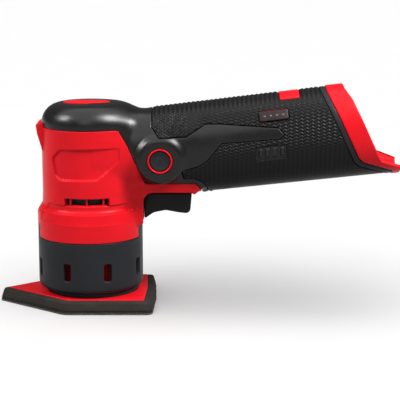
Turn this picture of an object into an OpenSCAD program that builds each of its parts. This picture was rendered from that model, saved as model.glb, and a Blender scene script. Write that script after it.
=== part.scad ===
// Cordless detail mouse sander. The spindle is the Z axis and the sanding face lies on Z = 0.
// The nose of the pad points along -X and the battery end of the handle along +X.

/* [Pad] */
// Length of the pad from nose to heel
pad_l = 89; // [84:0.5:94]
// Width of the pad where its sides are parallel
pad_w = 67.8; // [64:0.2:70]
// Distance from the nose to the spindle
nose_x = 51.7; // [48:0.1:54]
// Length over which the pad widens behind the nose
nose_l = 38.6; // [34:0.1:42]
// Width of the blunt nose
nose_w = 5.4; // [5.2:0.1:8]
// Height of the pad's red plate above the sanding face
plate_top = 7.6; // [7.2:0.1:8]

/* [Drive] */
// Eccentric offset, which is the radius of the orbit
orbit_r = 1.2; // [0.8:0.1:1.6]
// Bore of the bearings on the shaft and on the eccentric pin
bearing_bore = 8; // [6:0.5:9]
// Outside diameter of those bearings
bearing_od = 22; // [21:0.5:23]
// Radial clearance of the pin and the shaft in their bearings
run_fit = 0.03; // [0.01:0.01:0.1]
// Outside diameter of the motor's stator
stator_od = 44; // [40:1:46]

/* [Head] */
// Radius of the skirt and of the red collar above it
collar_r = 29.8; // [29:0.1:31]
// Radius of the head's neck, above the collar
neck_r = 26.7; // [26.2:0.1:27.2]
// Height of the crown of the head
crown_z = 114.9; // [114:0.1:116]
// Height at which the rubber cap meets the red shell
cap_z = 101.5; // [100:0.5:103]

/* [Handle] */
// Slope of the top of the handle
top_slope = 0.12; // [0.1:0.005:0.14]
// Slope of the underside of the handle
under_slope = 0.103; // [0.09:0.001:0.11]
// Half width of the handle
grip_half_w = 22.8; // [22:0.1:24]
// Thickness of the rubber
rubber_t = 1.8; // [1.4:0.1:2.2]
// Thickness of the plastic shell under the rubber
shell_t = 2.3; // [2:0.1:3]

/* [Controls] */
// Travel of the trigger
trigger_travel = 5; // [3:0.5:5.5]
// Radius of the lock button
button_r = 5.6; // [5:0.1:6]
// Travel of the lock button
button_travel = 2.5; // [1.5:0.1:3]

/* [Hidden] */
$fn = 64;

e = 0.01;
big = 400;
red = [0.80, 0.08, 0.10];
rubber = [0.16, 0.16, 0.165];
dark = [0.20, 0.205, 0.215];
steel = [0.62, 0.63, 0.65];
copper = [0.72, 0.42, 0.24];

// Heights of the drive, from the pad upwards
sheet_t = 0.9;
hook_t = 1.1;
foam_top = 6.5;
bevel_rise = 0.6;
bevel_inset = 4.6;
flare = 1.6;
plate_t = 2.4;
hub_flange_top = 11.4;
hub_flange_r = 26;
pad_bearing_z = 16;
bearing_t = 7;
hub_top = 30;
hub_r = 21;
hub_wall = 1.8;
skirt_z = 10.9;
skirt_top = 39.1;
skirt_lug_top = 46.2;
frame_z = 33.5;
lower_bearing_z = 36;
fan_z = 47;
stator_z = 58;
stator_h = 20;
hall_z = 83.6;
upper_bearing_z = 91.5;
upper_bearing_od = 16;
upper_bearing_bore = 5;
upper_bearing_t = 5;
neck_in = neck_r - shell_t;
cap_corner = 10.5;
leg_count = 4;
leg_at = 23.9;
leg_r = 1.5;
leg_seat = 1.2;

// Places of the controls along the handle
button_at = [40.4, 84.6];
bezel_r = 6.9;
boss_r = 13.2;
boss_y = 24;
bezel_seat = 19;
flange_top = 69.6;
// Places of the screws that close the housing, and of the screws in the pad and the motor frame
screw_at = [[34, 102.5], [61.5, 107], [66, 74], [88, 75], [88, 109.5]];
counterbore_r = 3.25;
counterbore_y = 11;
thread_r = 1.25;
pad_screw_at = 17;

// ---- Outlines ----
function unit(v) = v / norm(v);
function left_of(v) = [-v[1], v[0]];

// Corner i of an anticlockwise outline, moved inwards by d
function inset_corner(c, i, d) =
    let (n = len(c),
         a = left_of(unit(c[i] - c[(i + n - 1) % n])),
         b = left_of(unit(c[(i + 1) % n] - c[i])))
    c[i] + d * (a + b) / (1 + a * b);
function inset(c, d) = [for (i = [0 : len(c) - 1]) inset_corner(c, i, d)];

// Corner i turned into an arc of radius r
function corner_arc(c, i, r, steps) =
    let (n = len(c),
         a = unit(c[(i + n - 1) % n] - c[i]),
         b = unit(c[(i + 1) % n] - c[i]),
         half = acos(a * b) / 2,
         mid = c[i] + unit(a + b) * r / sin(half),
         p = c[i] + a * r / tan(half) - mid,
         q = c[i] + b * r / tan(half) - mid,
         from = atan2(p[1], p[0]),
         turn = (atan2(q[1], q[0]) - from + 540) % 360 - 180)
    [for (k = [0 : steps]) mid + r * [cos(from + turn * k / steps), sin(from + turn * k / steps)]];
function rounded(c, radii, steps = 6) =
    [for (i = [0 : len(c) - 1]) each corner_arc(c, i, radii[i], steps)];

// ---- Solids from outlines ----
// A closed solid through rings of equal length, each anticlockwise as seen from its end.
// ends lists the faces that close the first ring, where it isn't convex.
module loft(rings, ends) {
    n = len(rings[0]);
    m = len(rings);
    first = is_undef(ends) ? [[for (i = [0 : n - 1]) i]] : ends;
    sides = [for (j = [0 : m - 2], i = [0 : n - 1], k = [0, 1])
        let (a = j * n + i, b = j * n + (i + 1) % n)
        k == 0 ? [a, a + n, b] : [b, a + n, b + n]];
    last = [for (f = first) [for (i = [len(f) - 1 : -1 : 0]) (m - 1) * n + f[i]]];
    polyhedron([for (r = rings) each r], concat(first, sides, last));
}

// A round tube of radius r along a path
module tube(path, r, sides = 8) {
    n = len(path);
    loft([for (i = [0 : n - 1])
        let (d = unit(path[min(i + 1, n - 1)] - path[max(i - 1, 0)]),
             u = unit(cross(d, [0, 1, 0])),
             v = cross(d, u))
        [for (k = [0 : sides - 1]) path[i] + r * (cos(k * 360 / sides) * u + sin(k * 360 / sides) * v)]]);
}

// An outline in the XZ plane, given depth along Y
module slab(points, y0, y1) {
    translate([0, y1, 0]) rotate([90, 0, 0]) linear_extrude(y1 - y0) polygon(points);
}
module at_y(x, z, y) { translate([x, y, z]) rotate([-90, 0, 0]) children(); }
module ring(r_out, r_in, h, z = 0) {
    translate([0, 0, z]) difference() {
        cylinder(r = r_out, h = h);
        translate([0, 0, -1]) cylinder(r = r_in, h = h + 2);
    }
}
module disc(r, h, z = 0) { translate([0, 0, z]) cylinder(r = r, h = h); }
module around(count, first = 0) {
    for (i = [0 : count - 1]) rotate(first + i * 360 / count) children();
}
// The same thing on the other side of the tool
module other_side() { mirror([0, 1, 0]) children(); }
// Half a turned shape, on the +Y side
module half_turn(points) { rotate_extrude(angle = 180) polygon(points); }

// ---- Pad ----
heel_x = pad_l - nose_x;
pad_corners = [[-nose_x, -nose_w / 2], [nose_l - nose_x, -pad_w / 2], [heel_x - 1.2, -pad_w / 2],
    [heel_x, 0], [heel_x - 1.2, pad_w / 2], [nose_l - nose_x, pad_w / 2], [-nose_x, nose_w / 2]];
pad_radii = [1.2, 9, 4, 60, 4, 9, 1.2];
function pad_outline(d) = rounded(inset(pad_corners, d), [for (r = pad_radii) max(0.3, r - d)]);
function lift(points, z) = [for (p = points) [p[0], p[1], z]];

module sanding_sheet() color([0.24, 0.20, 0.18]) linear_extrude(sheet_t) polygon(pad_outline(0));
module hook_layer() color([0.12, 0.12, 0.12])
    translate([0, 0, sheet_t]) linear_extrude(hook_t) polygon(pad_outline(0.2));
module pad_foam() color([0.19, 0.18, 0.17]) difference() {
    loft([lift(pad_outline(0.2), sheet_t + hook_t),
        lift(pad_outline(flare), foam_top),
        lift(pad_outline(bevel_inset), foam_top + bevel_rise)]);
    translate([0, 0, plate_top - plate_t]) linear_extrude(big) polygon(pad_outline(bevel_inset + 0.4));
}
module pad_plate() color(red) difference() {
    translate([0, 0, plate_top - plate_t]) linear_extrude(plate_t)
        polygon(pad_outline(bevel_inset + 0.4));
    on_pin() around(3, 90) translate([pad_screw_at, 0, 0]) pad_screw();
}
module pad_screw() {
    cylinder(r = 1.5, h = hub_flange_top - 0.6);
    translate([0, 0, plate_top - plate_t]) cylinder(r = 3, h = 1.4);
}
module pad_screws() color(steel) on_pin() around(3, 90) translate([pad_screw_at, 0, 0]) difference() {
    pad_screw();
    disc(4, plate_top - plate_t);
    disc(1.2, 0.8, plate_top - plate_t - e);
}
// Everything on the eccentric pin's axis
module on_pin() { translate([orbit_r, 0, 0]) children(); }
module pad_hub() color(red) on_pin() difference() {
    union() {
        disc(hub_flange_r, hub_flange_top - plate_top, plate_top);
        disc(hub_r, hub_top - plate_top, plate_top);
    }
    disc(hub_r - hub_wall, big, pad_bearing_z + bearing_t);
    disc(bearing_od / 2, big, pad_bearing_z);
    disc(8, big, hub_flange_top);
    around(3, 90) translate([pad_screw_at, 0, 0]) pad_screw();
    around(leg_count) translate([leg_at, 0, hub_flange_top - leg_seat]) cylinder(r = leg_r + 0.2, h = 9);
}
module ball_bearing(z, od, bore, t) {
    inner = bore / 2 + 0.2 * (od - bore) / 2;
    outer = bore / 2 + 0.8 * (od - bore) / 2;
    rotate_extrude() polygon([[bore / 2, z], [inner, z], [inner, z + 0.5], [outer, z + 0.5], [outer, z],
        [od / 2, z], [od / 2, z + t], [outer, z + t], [outer, z + t - 0.5], [inner, z + t - 0.5],
        [inner, z + t], [bore / 2, z + t]]);
}
module pad_bearing() color(steel) on_pin() ball_bearing(pad_bearing_z, bearing_od, bearing_bore, bearing_t);

// ---- Rotor ----
shaft_r = bearing_bore / 2 - run_fit;
pin_top = 25;
shaft_top = upper_bearing_z + upper_bearing_t + 0.8;
module motor_shaft() color(steel) difference() {
    union() {
        on_pin() disc(shaft_r, pin_top - pad_bearing_z + 0.3, pad_bearing_z - 0.3);
        disc(6.2, 1.6, pin_top - 1.2);
        disc(shaft_r, upper_bearing_z - pin_top - 1, pin_top);
        disc(upper_bearing_bore / 2 - run_fit, shaft_top - upper_bearing_z + 2, upper_bearing_z - 2);
    }
    on_pin() disc(2, 8.4, pad_bearing_z - 1);
}
module spindle_screw() color([0.3, 0.3, 0.32]) on_pin() difference() {
    union() {
        disc(2, 8, pad_bearing_z - 1.4);
        disc(5.6, 1.1, pad_bearing_z - 1.4);
        disc(3.6, 2.4, pad_bearing_z - 3.7);
    }
    translate([0, 0, pad_bearing_z - 4]) cylinder(r = 1.5, h = 1.8, $fn = 6);
}
module counterweight() color([0.45, 0.45, 0.47]) difference() {
    intersection() {
        disc(hub_r - hub_wall - orbit_r - 0.9, 5.4, pin_top + 0.4);
        translate([-big, -big / 2, 0]) cube([big + 3, big, big]);
    }
    disc(shaft_r, big, 0);
}
fan_r = 19;
fan_h = 7.5;
module fan() color([0.10, 0.10, 0.11]) difference() {
    union() {
        disc(7, fan_h, fan_z);
        disc(fan_r, 1.4, fan_z);
        around(13) translate([6.5, -0.6, fan_z]) cube([fan_r - 7.2, 1.2, fan_h]);
    }
    disc(shaft_r, big, 0);
}
magnet_r = 11.4;
core_r = 9.4;
module rotor_core() color([0.5, 0.5, 0.52]) ring(core_r, shaft_r, stator_h, stator_z);
module rotor_magnets() color([0.35, 0.36, 0.38]) around(4) difference() {
    rotate_extrude(angle = 84) translate([core_r, stator_z]) square([magnet_r - core_r, stator_h]);
}

// ---- Motor ----
tooth_w = 5;
back_iron = 3.6;
tooth_tip = 12.4;
tooth_root = stator_od / 2 - back_iron + 0.6;
coil_wall = 1.9;
coil_rise = 3;
module stator_core() color([0.42, 0.43, 0.45]) union() {
    ring(stator_od / 2, stator_od / 2 - back_iron, stator_h, stator_z);
    around(6, 30) translate([tooth_tip, -tooth_w / 2, stator_z + 0.2])
        cube([tooth_root - tooth_tip, tooth_w, stator_h - 0.4]);
}
module stator_coils() color(copper) around(6, 30) difference() {
    translate([tooth_tip + 0.8, -tooth_w / 2 - coil_wall, stator_z - coil_rise])
        cube([4.4, tooth_w + 2 * coil_wall, stator_h + 2 * coil_rise]);
    translate([tooth_tip + 0.6, -tooth_w / 2, stator_z]) cube([5, tooth_w, stator_h]);
}
module hall_board() color([0.05, 0.30, 0.16]) difference() {
    ring(20.5, 9, 1.4, hall_z);
    around(3, 60) translate([16.8, 0, 0]) cylinder(r = 1.2, h = big);
}
module upper_bearing() color(steel)
    ball_bearing(upper_bearing_z, upper_bearing_od, upper_bearing_bore, upper_bearing_t);
module lower_bearing() color(steel)
    ball_bearing(lower_bearing_z, bearing_od, bearing_bore, bearing_t);
post_at = 22.3;
post_r = 2.7;
post_h = 11.6;
module motor_frame() color([0.66, 0.67, 0.69]) difference() {
    union() {
        disc(24.8, 2.4, frame_z);
        disc(bearing_od / 2 + 2.4, lower_bearing_z + bearing_t + 0.2 - frame_z, frame_z);
        around(4, 45) translate([post_at, 0, frame_z]) cylinder(r = post_r, h = post_h);
    }
    disc(bearing_od / 2, big, lower_bearing_z);
    disc(bearing_od / 2 - 3, big, 0);
    around(8, 22.5) translate([18, 0, 0]) cylinder(r = 2.3, h = big);
    around(4, 45) translate([post_at, 0, 0]) cylinder(r = thread_r, h = big);
}
module frame_screws() color(steel) around(4, 45) translate([post_at, 0, 0]) difference() {
    union() {
        disc(thread_r, post_h + 8, frame_z);
        disc(2.4, 1.6, frame_z - 1.6);
    }
    disc(1.1, 1, frame_z - 1.6 - e);
}
// Each leg leans by the orbit's radius, from its seat in the hub up to the motor frame
function leg_ring(at, z) = [for (k = [0 : 15])
    [at[0] + leg_r * cos(22.5 * k), at[1] + leg_r * sin(22.5 * k), z]];
module pad_legs() color([0.12, 0.12, 0.12]) for (i = [0 : leg_count - 1]) {
    top = leg_at * [cos(i * 360 / leg_count), sin(i * 360 / leg_count)];
    loft([leg_ring(top + [orbit_r, 0], hub_flange_top - leg_seat), leg_ring(top, frame_z)]);
}

// ---- Skirt ----
spigot_r = 27.4;
spigot_top = 47;
slot_w = 4.4;
slot_h = 10;
slot_mid = 22.3;
flap_half = 70;
slot_side = [for (s = [0, 1], t = [0 : 18 : 180])
    [s * (slot_h - slot_w) - slot_h / 2 + slot_w / 2 - slot_w / 2 * sin(t) * (1 - 2 * s),
     slot_w / 2 * cos(t) * (1 - 2 * s)]];
module skirt_slot() {
    translate([collar_r - 6, 0, slot_mid]) rotate([0, -90, 0]) mirror([0, 0, 1]) linear_extrude(12)
        polygon(slot_side);
}
module skirt() color(dark) difference() {
    union() {
        rotate_extrude() polygon([[27.6, skirt_z], [28.8, skirt_z], [29.5, skirt_z + 0.7],
            [collar_r - 0.1, skirt_z + 2.4], [collar_r - 0.1, skirt_top], [spigot_r, skirt_top],
            [spigot_r, spigot_top], [spigot_r - 2, spigot_top], [spigot_r - 2, 38], [27.6, 36]]);
        for (a = [0, 180]) rotate(a - 90 + flap_half) rotate_extrude(angle = 180 - 2 * flap_half)
            translate([spigot_r - 1, skirt_top - 1])
                square([collar_r - 0.2 - spigot_r + 1, skirt_lug_top - skirt_top + 1]);
    }
    around(8, 22.5) skirt_slot();
}

// ---- Handle ----
// Top, underside and half width of the rubber skin at x
function skin_top(x) = x < 36 ? lookup(x, [[10, 109.4], [28, 109.9], [36, 111.5]]) : 107.18 + top_slope * x;
function skin_under(x) = x < 62 ? lookup(x, [[10, 66], [34, 65.2], [58, 65.2], [62, 63.9]])
    : 57.5 + under_slope * x;
function skin_half(x) = lookup(x, [[10, 24.2], [22, 23.8], [36, 22.4], [60, 22.2], [130, grip_half_w],
    [180, grip_half_w + 0.6]]);
stations = [10, 16, 22, 28, 32, 36, 48, 58, 62, 80, 100, 120, 140, 160, 180];
arc_steps = 16;
oval = 2.35;
function bent(v) = sign(v) * pow(abs(v), 2 / oval);

// Half of the section at x, on the +Y side, d inside the skin
function half_arc(x, d) =
    let (mid = (skin_top(x) + skin_under(x)) / 2,
         b = (skin_top(x) - skin_under(x)) / 2 - d,
         a = skin_half(x) - d)
    [for (k = [0 : arc_steps]) let (t = -90 + 180 * k / arc_steps)
        [x, abs(t) == 90 ? 0 : a * bent(cos(t)), mid + b * bent(sin(t))]];
function reversed(v) = [for (i = [len(v) - 1 : -1 : 0]) v[i]];
// The +Y half of the layer between depths d0 and d1, closed by a strip of faces at each end
module half_layer(d0, d1) {
    last_in = 2 * arc_steps + 1;
    loft([for (x = stations) concat(half_arc(x, d0), reversed(half_arc(x, d1)))],
        [for (k = [0 : arc_steps - 1], half = [0, 1])
            half == 0 ? [k, k + 1, last_in - k - 1] : [k, last_in - k - 1, last_in - k]]);
}
// The +Y half of everything deeper than d
module half_core(d) { loft([for (x = stations) half_arc(x, d)]); }

// Side-view limits of the rear pieces: the slanted end of the grip, the ring and the collar
grip_end = [[129.1, 130], [129.1, 122.2], [147.4, 83.6], [150.6, 80.8], [166, 76], [166, 50]];
ring_end = [[132.4, 130], [132.4, 122.4], [150, 85.6], [152.6, 83.2], [169.4, 77.6], [169.4, 50]];
collar_end = [[142.6, 130], [142.6, 124], [146.6, 118.3], [160.8, 87.6], [162.8, 84], [174.8, 79.3],
    [174.3, 76], [172.6, 50]];
reach = 40;
module ahead_of(edge) { slab(concat([[-50, 50], [-50, 130]], edge), -reach, reach); }
module behind(edge) { slab(concat(edge, [[200, 50], [200, 130]]), -reach, reach); }
// Side view of the smooth rubber: the neck and the panel on the handle's side
smooth_area = [[-50, 50], [66.5, 50], [66.5, 68.6], [63.6, 72.2], [60.2, 73.6], [53.6, 73.6],
    [52.5, 78.4], [61.3, 81.2], [66, 84], [74.5, 94.3], [89.8, 95.4], [106.3, 96.8], [109, 98.9],
    [105.7, 102.9], [89.8, 103.9], [73.3, 104.9], [65.1, 104.7], [54.7, 97.6], [39.8, 97.4],
    [35.7, 102.8], [35.7, 130], [-50, 130]];
// Side view of the red plastic left bare over the trigger
bare_area = [[-50, 50], [66, 50], [65, 67.6], [60.2, 70.5], [32, 70.5], [30.3, 73.6], [26.5, 83.1],
    [22.8, 92], [17.9, 100.9], [16, cap_z], [-50, cap_z]];
module smooth_prism() { slab(smooth_area, -reach, reach); }
module bare_prism() { slab(bare_area, -reach, reach); }

module screw_hole(at, y, r) { at_y(at[0], at[1], y) cylinder(r = r, h = 40); }

// ---- Head shells, +Y halves ----
function dome(r, top_z, corner) = concat([[0, top_z], [r - corner, top_z - 0.3]],
    [for (t = [75 : -15 : 0]) [r - corner + corner * cos(t), top_z - 0.3 - corner + corner * sin(t)]]);
cap_outer = dome(neck_r, crown_z, cap_corner);
cap_inner = dome(neck_r - 2, crown_z - 2, cap_corner - 2);
dome_inner = dome(neck_r - 2 - shell_t, crown_z - 2 - shell_t, cap_corner - 2 - shell_t);

module cap_solid() { rotate_extrude() polygon(concat([[0, cap_z], [neck_r, cap_z]], reversed(cap_outer))); }

module head_shell() {
    half_turn([[collar_r, skirt_top], [collar_r, 49.5], [28.5, 55.1], [27.2, 56.5], [26.9, 60],
        [neck_r, 64], [neck_r, cap_z], [neck_r - 2, cap_z], [neck_r - 2, cap_z - 1],
        [neck_in, cap_z - 1], [neck_in, 56], [25.7, 53.5], [27.5, 48.5], [27.5, skirt_top]]);
    half_turn(concat([[neck_r - 2, cap_z - 1]], reversed(cap_inner), dome_inner,
        [[neck_r - 2 - shell_t, cap_z - 1]]));
}
// Room for what the shells hold: the window into the handle and the vent in the side
module head_window() { translate([14, -13, 72]) cube([21, 26, 27]); }
vent_z = 59.6;
vent_spans = [[-12.4, -9.8], [-8.4, -0.5], [0.5, 8.4], [9.8, 12.4]];
module vent() {
    for (v = vent_spans) translate([v[0], 20, vent_z]) cube([v[1] - v[0], 12, 4.2]);
}
module lug_gap() {
    for (a = [0, 180]) rotate(a - 90 + flap_half) rotate_extrude(angle = 180 - 2 * flap_half)
        translate([26, skirt_top - 2]) square([8, skirt_lug_top - skirt_top + 2]);
}
wire_hole_at = 17;
module bearing_rib() {
    difference() {
        half_turn([[upper_bearing_od / 2, upper_bearing_z], [neck_in + 0.4, upper_bearing_z],
            [neck_in + 0.4, upper_bearing_z + 2.4], [upper_bearing_od / 2 + 2.2, upper_bearing_z + 2.4],
            [upper_bearing_od / 2 + 2.2, upper_bearing_z + upper_bearing_t + 1.4],
            [4, upper_bearing_z + upper_bearing_t + 1.4], [4, upper_bearing_z + upper_bearing_t],
            [upper_bearing_od / 2, upper_bearing_z + upper_bearing_t]]);
        for (a = [40, 90, 140]) rotate(a) translate([wire_hole_at, 0, 0]) cylinder(r = 3.4, h = big);
    }
}
// Ribs that hold the stator
module stator_ribs() {
    for (z = [stator_z + 1, stator_z + stator_h - 3])
        half_turn([[stator_od / 2, z], [neck_in + 0.4, z], [neck_in + 0.4, z + 2], [stator_od / 2, z + 2]]);
}
lip = [[-24, 88], [-24, 103.5], [-29, 101.6], [-29.3, 100.6], [-28.6, 98], [-26.7, 90]];
spine = [[22, 46.5], [30.6, 46.5], [30.9, 60.6], [31.9, 63], [33.6, 64.6], [36, 65.3], [36, 70.4],
    [22, 70.4]];
guard_slot = [[30.7, 50], [58.4, 50], [58.4, 70.6], [30.7, 70.6]];
bulkhead_x = 96;

module housing_half() {
    difference() {
        union() {
            head_shell();
            difference() {
                half_layer(rubber_t, rubber_t + shell_t);
                cylinder(r = neck_in + 0.4, h = big);
                cap_solid();
            }
            difference() {
                intersection() {
                    half_layer(-e, rubber_t + 0.1);
                    bare_prism();
                }
                cylinder(r = neck_in + 0.4, h = big);
            }
            slab(lip, 0, 9);
            difference() {
                slab(spine, 0, 12);
                cylinder(r = 27.6, h = 55);
                cylinder(r = neck_in + 0.4, h = big);
            }
            bearing_rib();
            stator_ribs();
            intersection() {
                half_core(rubber_t + 0.2);
                inner_bosses();
            }
            for (a = [45, 135]) rotate(a) frame_boss();
        }
        head_window();
        vent();
        lug_gap();
        slab(guard_slot, -12, 9.4);
        behind(ring_end);
    }
}
// Screw bosses, the button's boss, rests for the switch, and the wall that holds the terminal block
module inner_bosses() {
    at_y(button_at[0], button_at[1], 14) cylinder(r = bezel_r + 1.6, h = 7);
    for (p = screw_at) at_y(p[0], p[1], 0) cylinder(r = 3.2, h = 25);
    for (x = [51, 62]) at_y(x, 84, 8) cylinder(r = 2, h = 17);
    difference() {
        translate([bulkhead_x, 0, 50]) cube([2.4, 30, 80]);
        translate([bulkhead_x - 1, -1, block_z]) cube([5, 13, block_h]);
    }
}
// Where a frame screw bites, beside the fan
module frame_boss() { translate([post_at, 0, 0]) disc(post_r, 57.5 - frame_z - post_h, frame_z + post_h); }
module right_housing() color(red) difference() {
    housing_half();
    at_y(button_at[0], button_at[1], -1) cylinder(r = button_r + 0.3, h = 60);
    at_y(button_at[0], button_at[1], bezel_seat) cylinder(r = bezel_r, h = 60);
    for (p = screw_at) {
        screw_hole(p, -1, 1.7);
        screw_hole(p, counterbore_y, counterbore_r);
    }
    around(4, 45) translate([post_at, 0, 0]) cylinder(r = thread_r, h = frame_z + post_h + 8);
}
module left_housing() color(red) difference() {
    other_side() housing_half();
    at_y(button_at[0], button_at[1], -60) cylinder(r = button_r + 0.3, h = 61);
    at_y(button_at[0], button_at[1], -bezel_seat - 60) cylinder(r = bezel_r, h = 60);
    for (p = screw_at) at_y(p[0], p[1], -12) cylinder(r = thread_r, h = 13);
    gauge_place() cube([15.4, 12, 5.2], center = true);
    around(4, 45) translate([post_at, 0, 0]) cylinder(r = thread_r, h = frame_z + post_h + 8);
}
module clamshell_screws() color(steel) for (p = screw_at) difference() {
    at_y(p[0], p[1], -10) union() {
        cylinder(r = thread_r, h = counterbore_y + 10);
        translate([0, 0, counterbore_y + 10]) cylinder(r = counterbore_r - 0.35, h = 2.2);
    }
    at_y(p[0], p[1], counterbore_y + 1.2) cylinder(r = 1.2, h = 3);
}

// ---- Rubber, +Y halves ----
module rubber_half() {
    difference() {
        half_layer(0, rubber_t);
        bare_prism();
        cylinder(r = neck_r, h = cap_z + 0.5);
        rotate_extrude() polygon(concat([[0, 90], [neck_r - 2, 90]], reversed(cap_inner)));
    }
}
module overmold_half() {
    half_turn(concat([[neck_r, cap_z]], reversed(cap_outer), cap_inner, [[neck_r - 2, cap_z]]));
    intersection() {
        rubber_half();
        smooth_prism();
    }
    difference() {
        union() {
            at_y(button_at[0], button_at[1], 8) cylinder(r = boss_r, h = boss_y - 10);
            at_y(button_at[0], button_at[1], boss_y - 2) cylinder(r1 = boss_r, r2 = boss_r - 2, h = 2);
        }
        half_core(rubber_t);
        bare_prism();
        cylinder(r = neck_r, h = cap_z + 0.5);
        at_y(button_at[0], button_at[1], 10) cylinder(r = bezel_r + 1.6, h = 11);
    }
}
module overmold_side() {
    difference() {
        overmold_half();
        cap_badge_solid(3);
        slab(lip, -9, 9);
        at_y(button_at[0], button_at[1], 10) cylinder(r = bezel_r, h = 40);
        for (p = screw_at) screw_hole(p, counterbore_y, counterbore_r);
    }
}
module right_overmold() color(rubber) overmold_side();
module left_overmold() color(rubber) other_side() overmold_side();

module grip_half() {
    difference() {
        intersection() {
            rubber_half();
            ahead_of(grip_end);
        }
        smooth_prism();
        badge_block(0);
    }
}
module right_grip() color(rubber) difference() {
    grip_half();
    for (p = screw_at) screw_hole(p, counterbore_y, counterbore_r);
}
module left_grip() color(rubber) difference() {
    other_side() grip_half();
    gauge_place() cube([16.2, 12, 6], center = true);
}

// ---- Rear of the handle ----
module receiver_ring() color(dark) {
    for (m = [0, 1]) mirror([0, m, 0]) difference() {
        intersection() {
            half_layer(-0.2, rubber_t);
            ahead_of(ring_end);
        }
        ahead_of(grip_end);
    }
}
module receiver_collar() color(red) {
    for (m = [0, 1]) mirror([0, m, 0]) difference() {
        intersection() {
            half_layer(-0.6, rubber_t + shell_t);
            ahead_of(collar_end);
        }
        ahead_of(ring_end);
    }
}

// ---- Badges, gauge, button ----
module cap_badge_solid(h) {
    translate([-1, 0, crown_z - 1.2]) linear_extrude(h)
        polygon([for (t = [0 : 7.5 : 359]) [13.6 * cos(t), 7.8 * sin(t)]]);
}
module cap_badge() color(red) cap_badge_solid(1.2);
badge_x = [106.2, 117.8];
badge_half = 12.4;
module badge_block(gap) {
    translate([badge_x[0] - gap, -badge_half - gap, 112])
        cube([badge_x[1] - badge_x[0] + 2 * gap, 2 * (badge_half + gap), 12]);
}
module handle_badge() color(red) intersection() {
    union() for (m = [0, 1]) mirror([0, m, 0]) half_layer(0.2, rubber_t);
    badge_block(-0.1);
}
gauge_at = [102.9, -19.7, 109.6];
gauge_tilt = 24;
module gauge_place() { translate(gauge_at) rotate([0, -6.3, 0]) rotate([-gauge_tilt, 0, 0]) children(); }
module gauge_lens() color([0.12, 0.07, 0.08]) gauge_place() translate([0, 0.3, 0])
    cube([16, 1.4, 5.8], center = true);
module gauge_board() color([0.05, 0.30, 0.16]) gauge_place() {
    translate([0, 2.6, 0]) cube([14.8, 1, 4.8], center = true);
    for (i = [-1.5 : 1.5]) translate([i * 3.4, 1.65, 0]) cube([1.6, 0.9, 1.6], center = true);
}
module bezel_half() {
    at_y(button_at[0], button_at[1], bezel_seat) difference() {
        cylinder(r = bezel_r, h = boss_y - bezel_seat + 0.3);
        translate([0, 0, -1]) cylinder(r = button_r + 0.3, h = 20);
    }
}
module right_button_bezel() color(red) bezel_half();
module left_button_bezel() color(red) other_side() bezel_half();
module lock_button() color(dark) union() {
    at_y(button_at[0], button_at[1], -boss_y + 0.2) cylinder(r = button_r, h = 8);
    at_y(button_at[0], button_at[1], -boss_y + 8) cylinder(r = 3.4, h = 2 * boss_y - 16 + button_travel);
    at_y(button_at[0], button_at[1], boss_y - 8 + button_travel) cylinder(r = button_r, h = 8);
}

// ---- Trigger ----
trigger_side = rounded([[31.1, 64], [31.1, 49.8], [36.2, 53.4], [43.2, 54.7], [50, 53.6], [56.9, 52.9],
    [57.9, 64]], [0.3, 0.5, 6, 6, 6, 2.2, 0.3], 4);
trigger_flange = [[34, 63.5], [57, 63.5], [57, flange_top], [34, flange_top]];
module trigger() color([0.13, 0.13, 0.14]) {
    slab(trigger_side, -8.8, 8.8);
    slab(trigger_flange, -7.6, 7.6);
}
switch_z = flange_top + trigger_travel + 2.8;
module switch_module() color([0.10, 0.10, 0.11]) union() {
    translate([48.5, -8, switch_z]) cube([17, 16, 14]);
    translate([52, -2.5, switch_z + 13]) cube([10, 5, 2.6]);
}
spring_x = 53;
spring_turns = 4;
spring_r = 2.6;
wire_r = 0.4;
module trigger_spring() color(steel) {
    z0 = flange_top + wire_r;
    h = switch_z - flange_top - 2 * wire_r;
    tube([for (t = [0 : 30 : 360 * spring_turns])
        [spring_x + spring_r * cos(t), spring_r * sin(t), z0 + h * t / (360 * spring_turns)]], wire_r, 6);
}

// ---- Electrics ----
module control_board() color([0.05, 0.30, 0.16]) translate([66, -14, 101]) cube([22, 28, 1.6]);
module heat_sink() color([0.66, 0.67, 0.69]) difference() {
    translate([67, -12, 94]) cube([18, 24, 7]);
    for (y = [-10 : 4 : 10]) translate([66, y - 1, 93]) cube([20, 2, 6]);
}
block_x = 95;
block_z = 79;
block_h = 28;
module terminal_block() color([0.10, 0.10, 0.11]) difference() {
    translate([block_x, -12, block_z]) cube([7, 24, block_h]);
    for (y = [-8, 0, 8]) translate([block_x + 3, y - 0.5, 84]) cube([5, 1, 16]);
}
module battery_contacts() color([0.78, 0.62, 0.30]) for (y = [-8, 0, 8])
    translate([block_x + 3, y - 0.5, 84]) cube([12, 1, 16]);
module motor_leads() color([0.12, 0.12, 0.12]) for (y = [-5, 0, 5])
    tube([[15.5, y, 85.8], [19, y, 86.4], [24, y, 88], [29, y, 92], [35, y, 96], [42, y, 98.4],
        [54, y, 101.4], [66, y, 101.8]], 0.8);
module battery_leads() color([0.55, 0.08, 0.08]) for (y = [-7, 7])
    tube([[94.9, y, 94.5], [93.4, y, 94.5], [91.6, y, 95.4], [90.8, y, 97.6], [90.4, y, 100],
        [89.6, y, 101.8], [88.2, y, 101.8]], 0.8);

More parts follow.
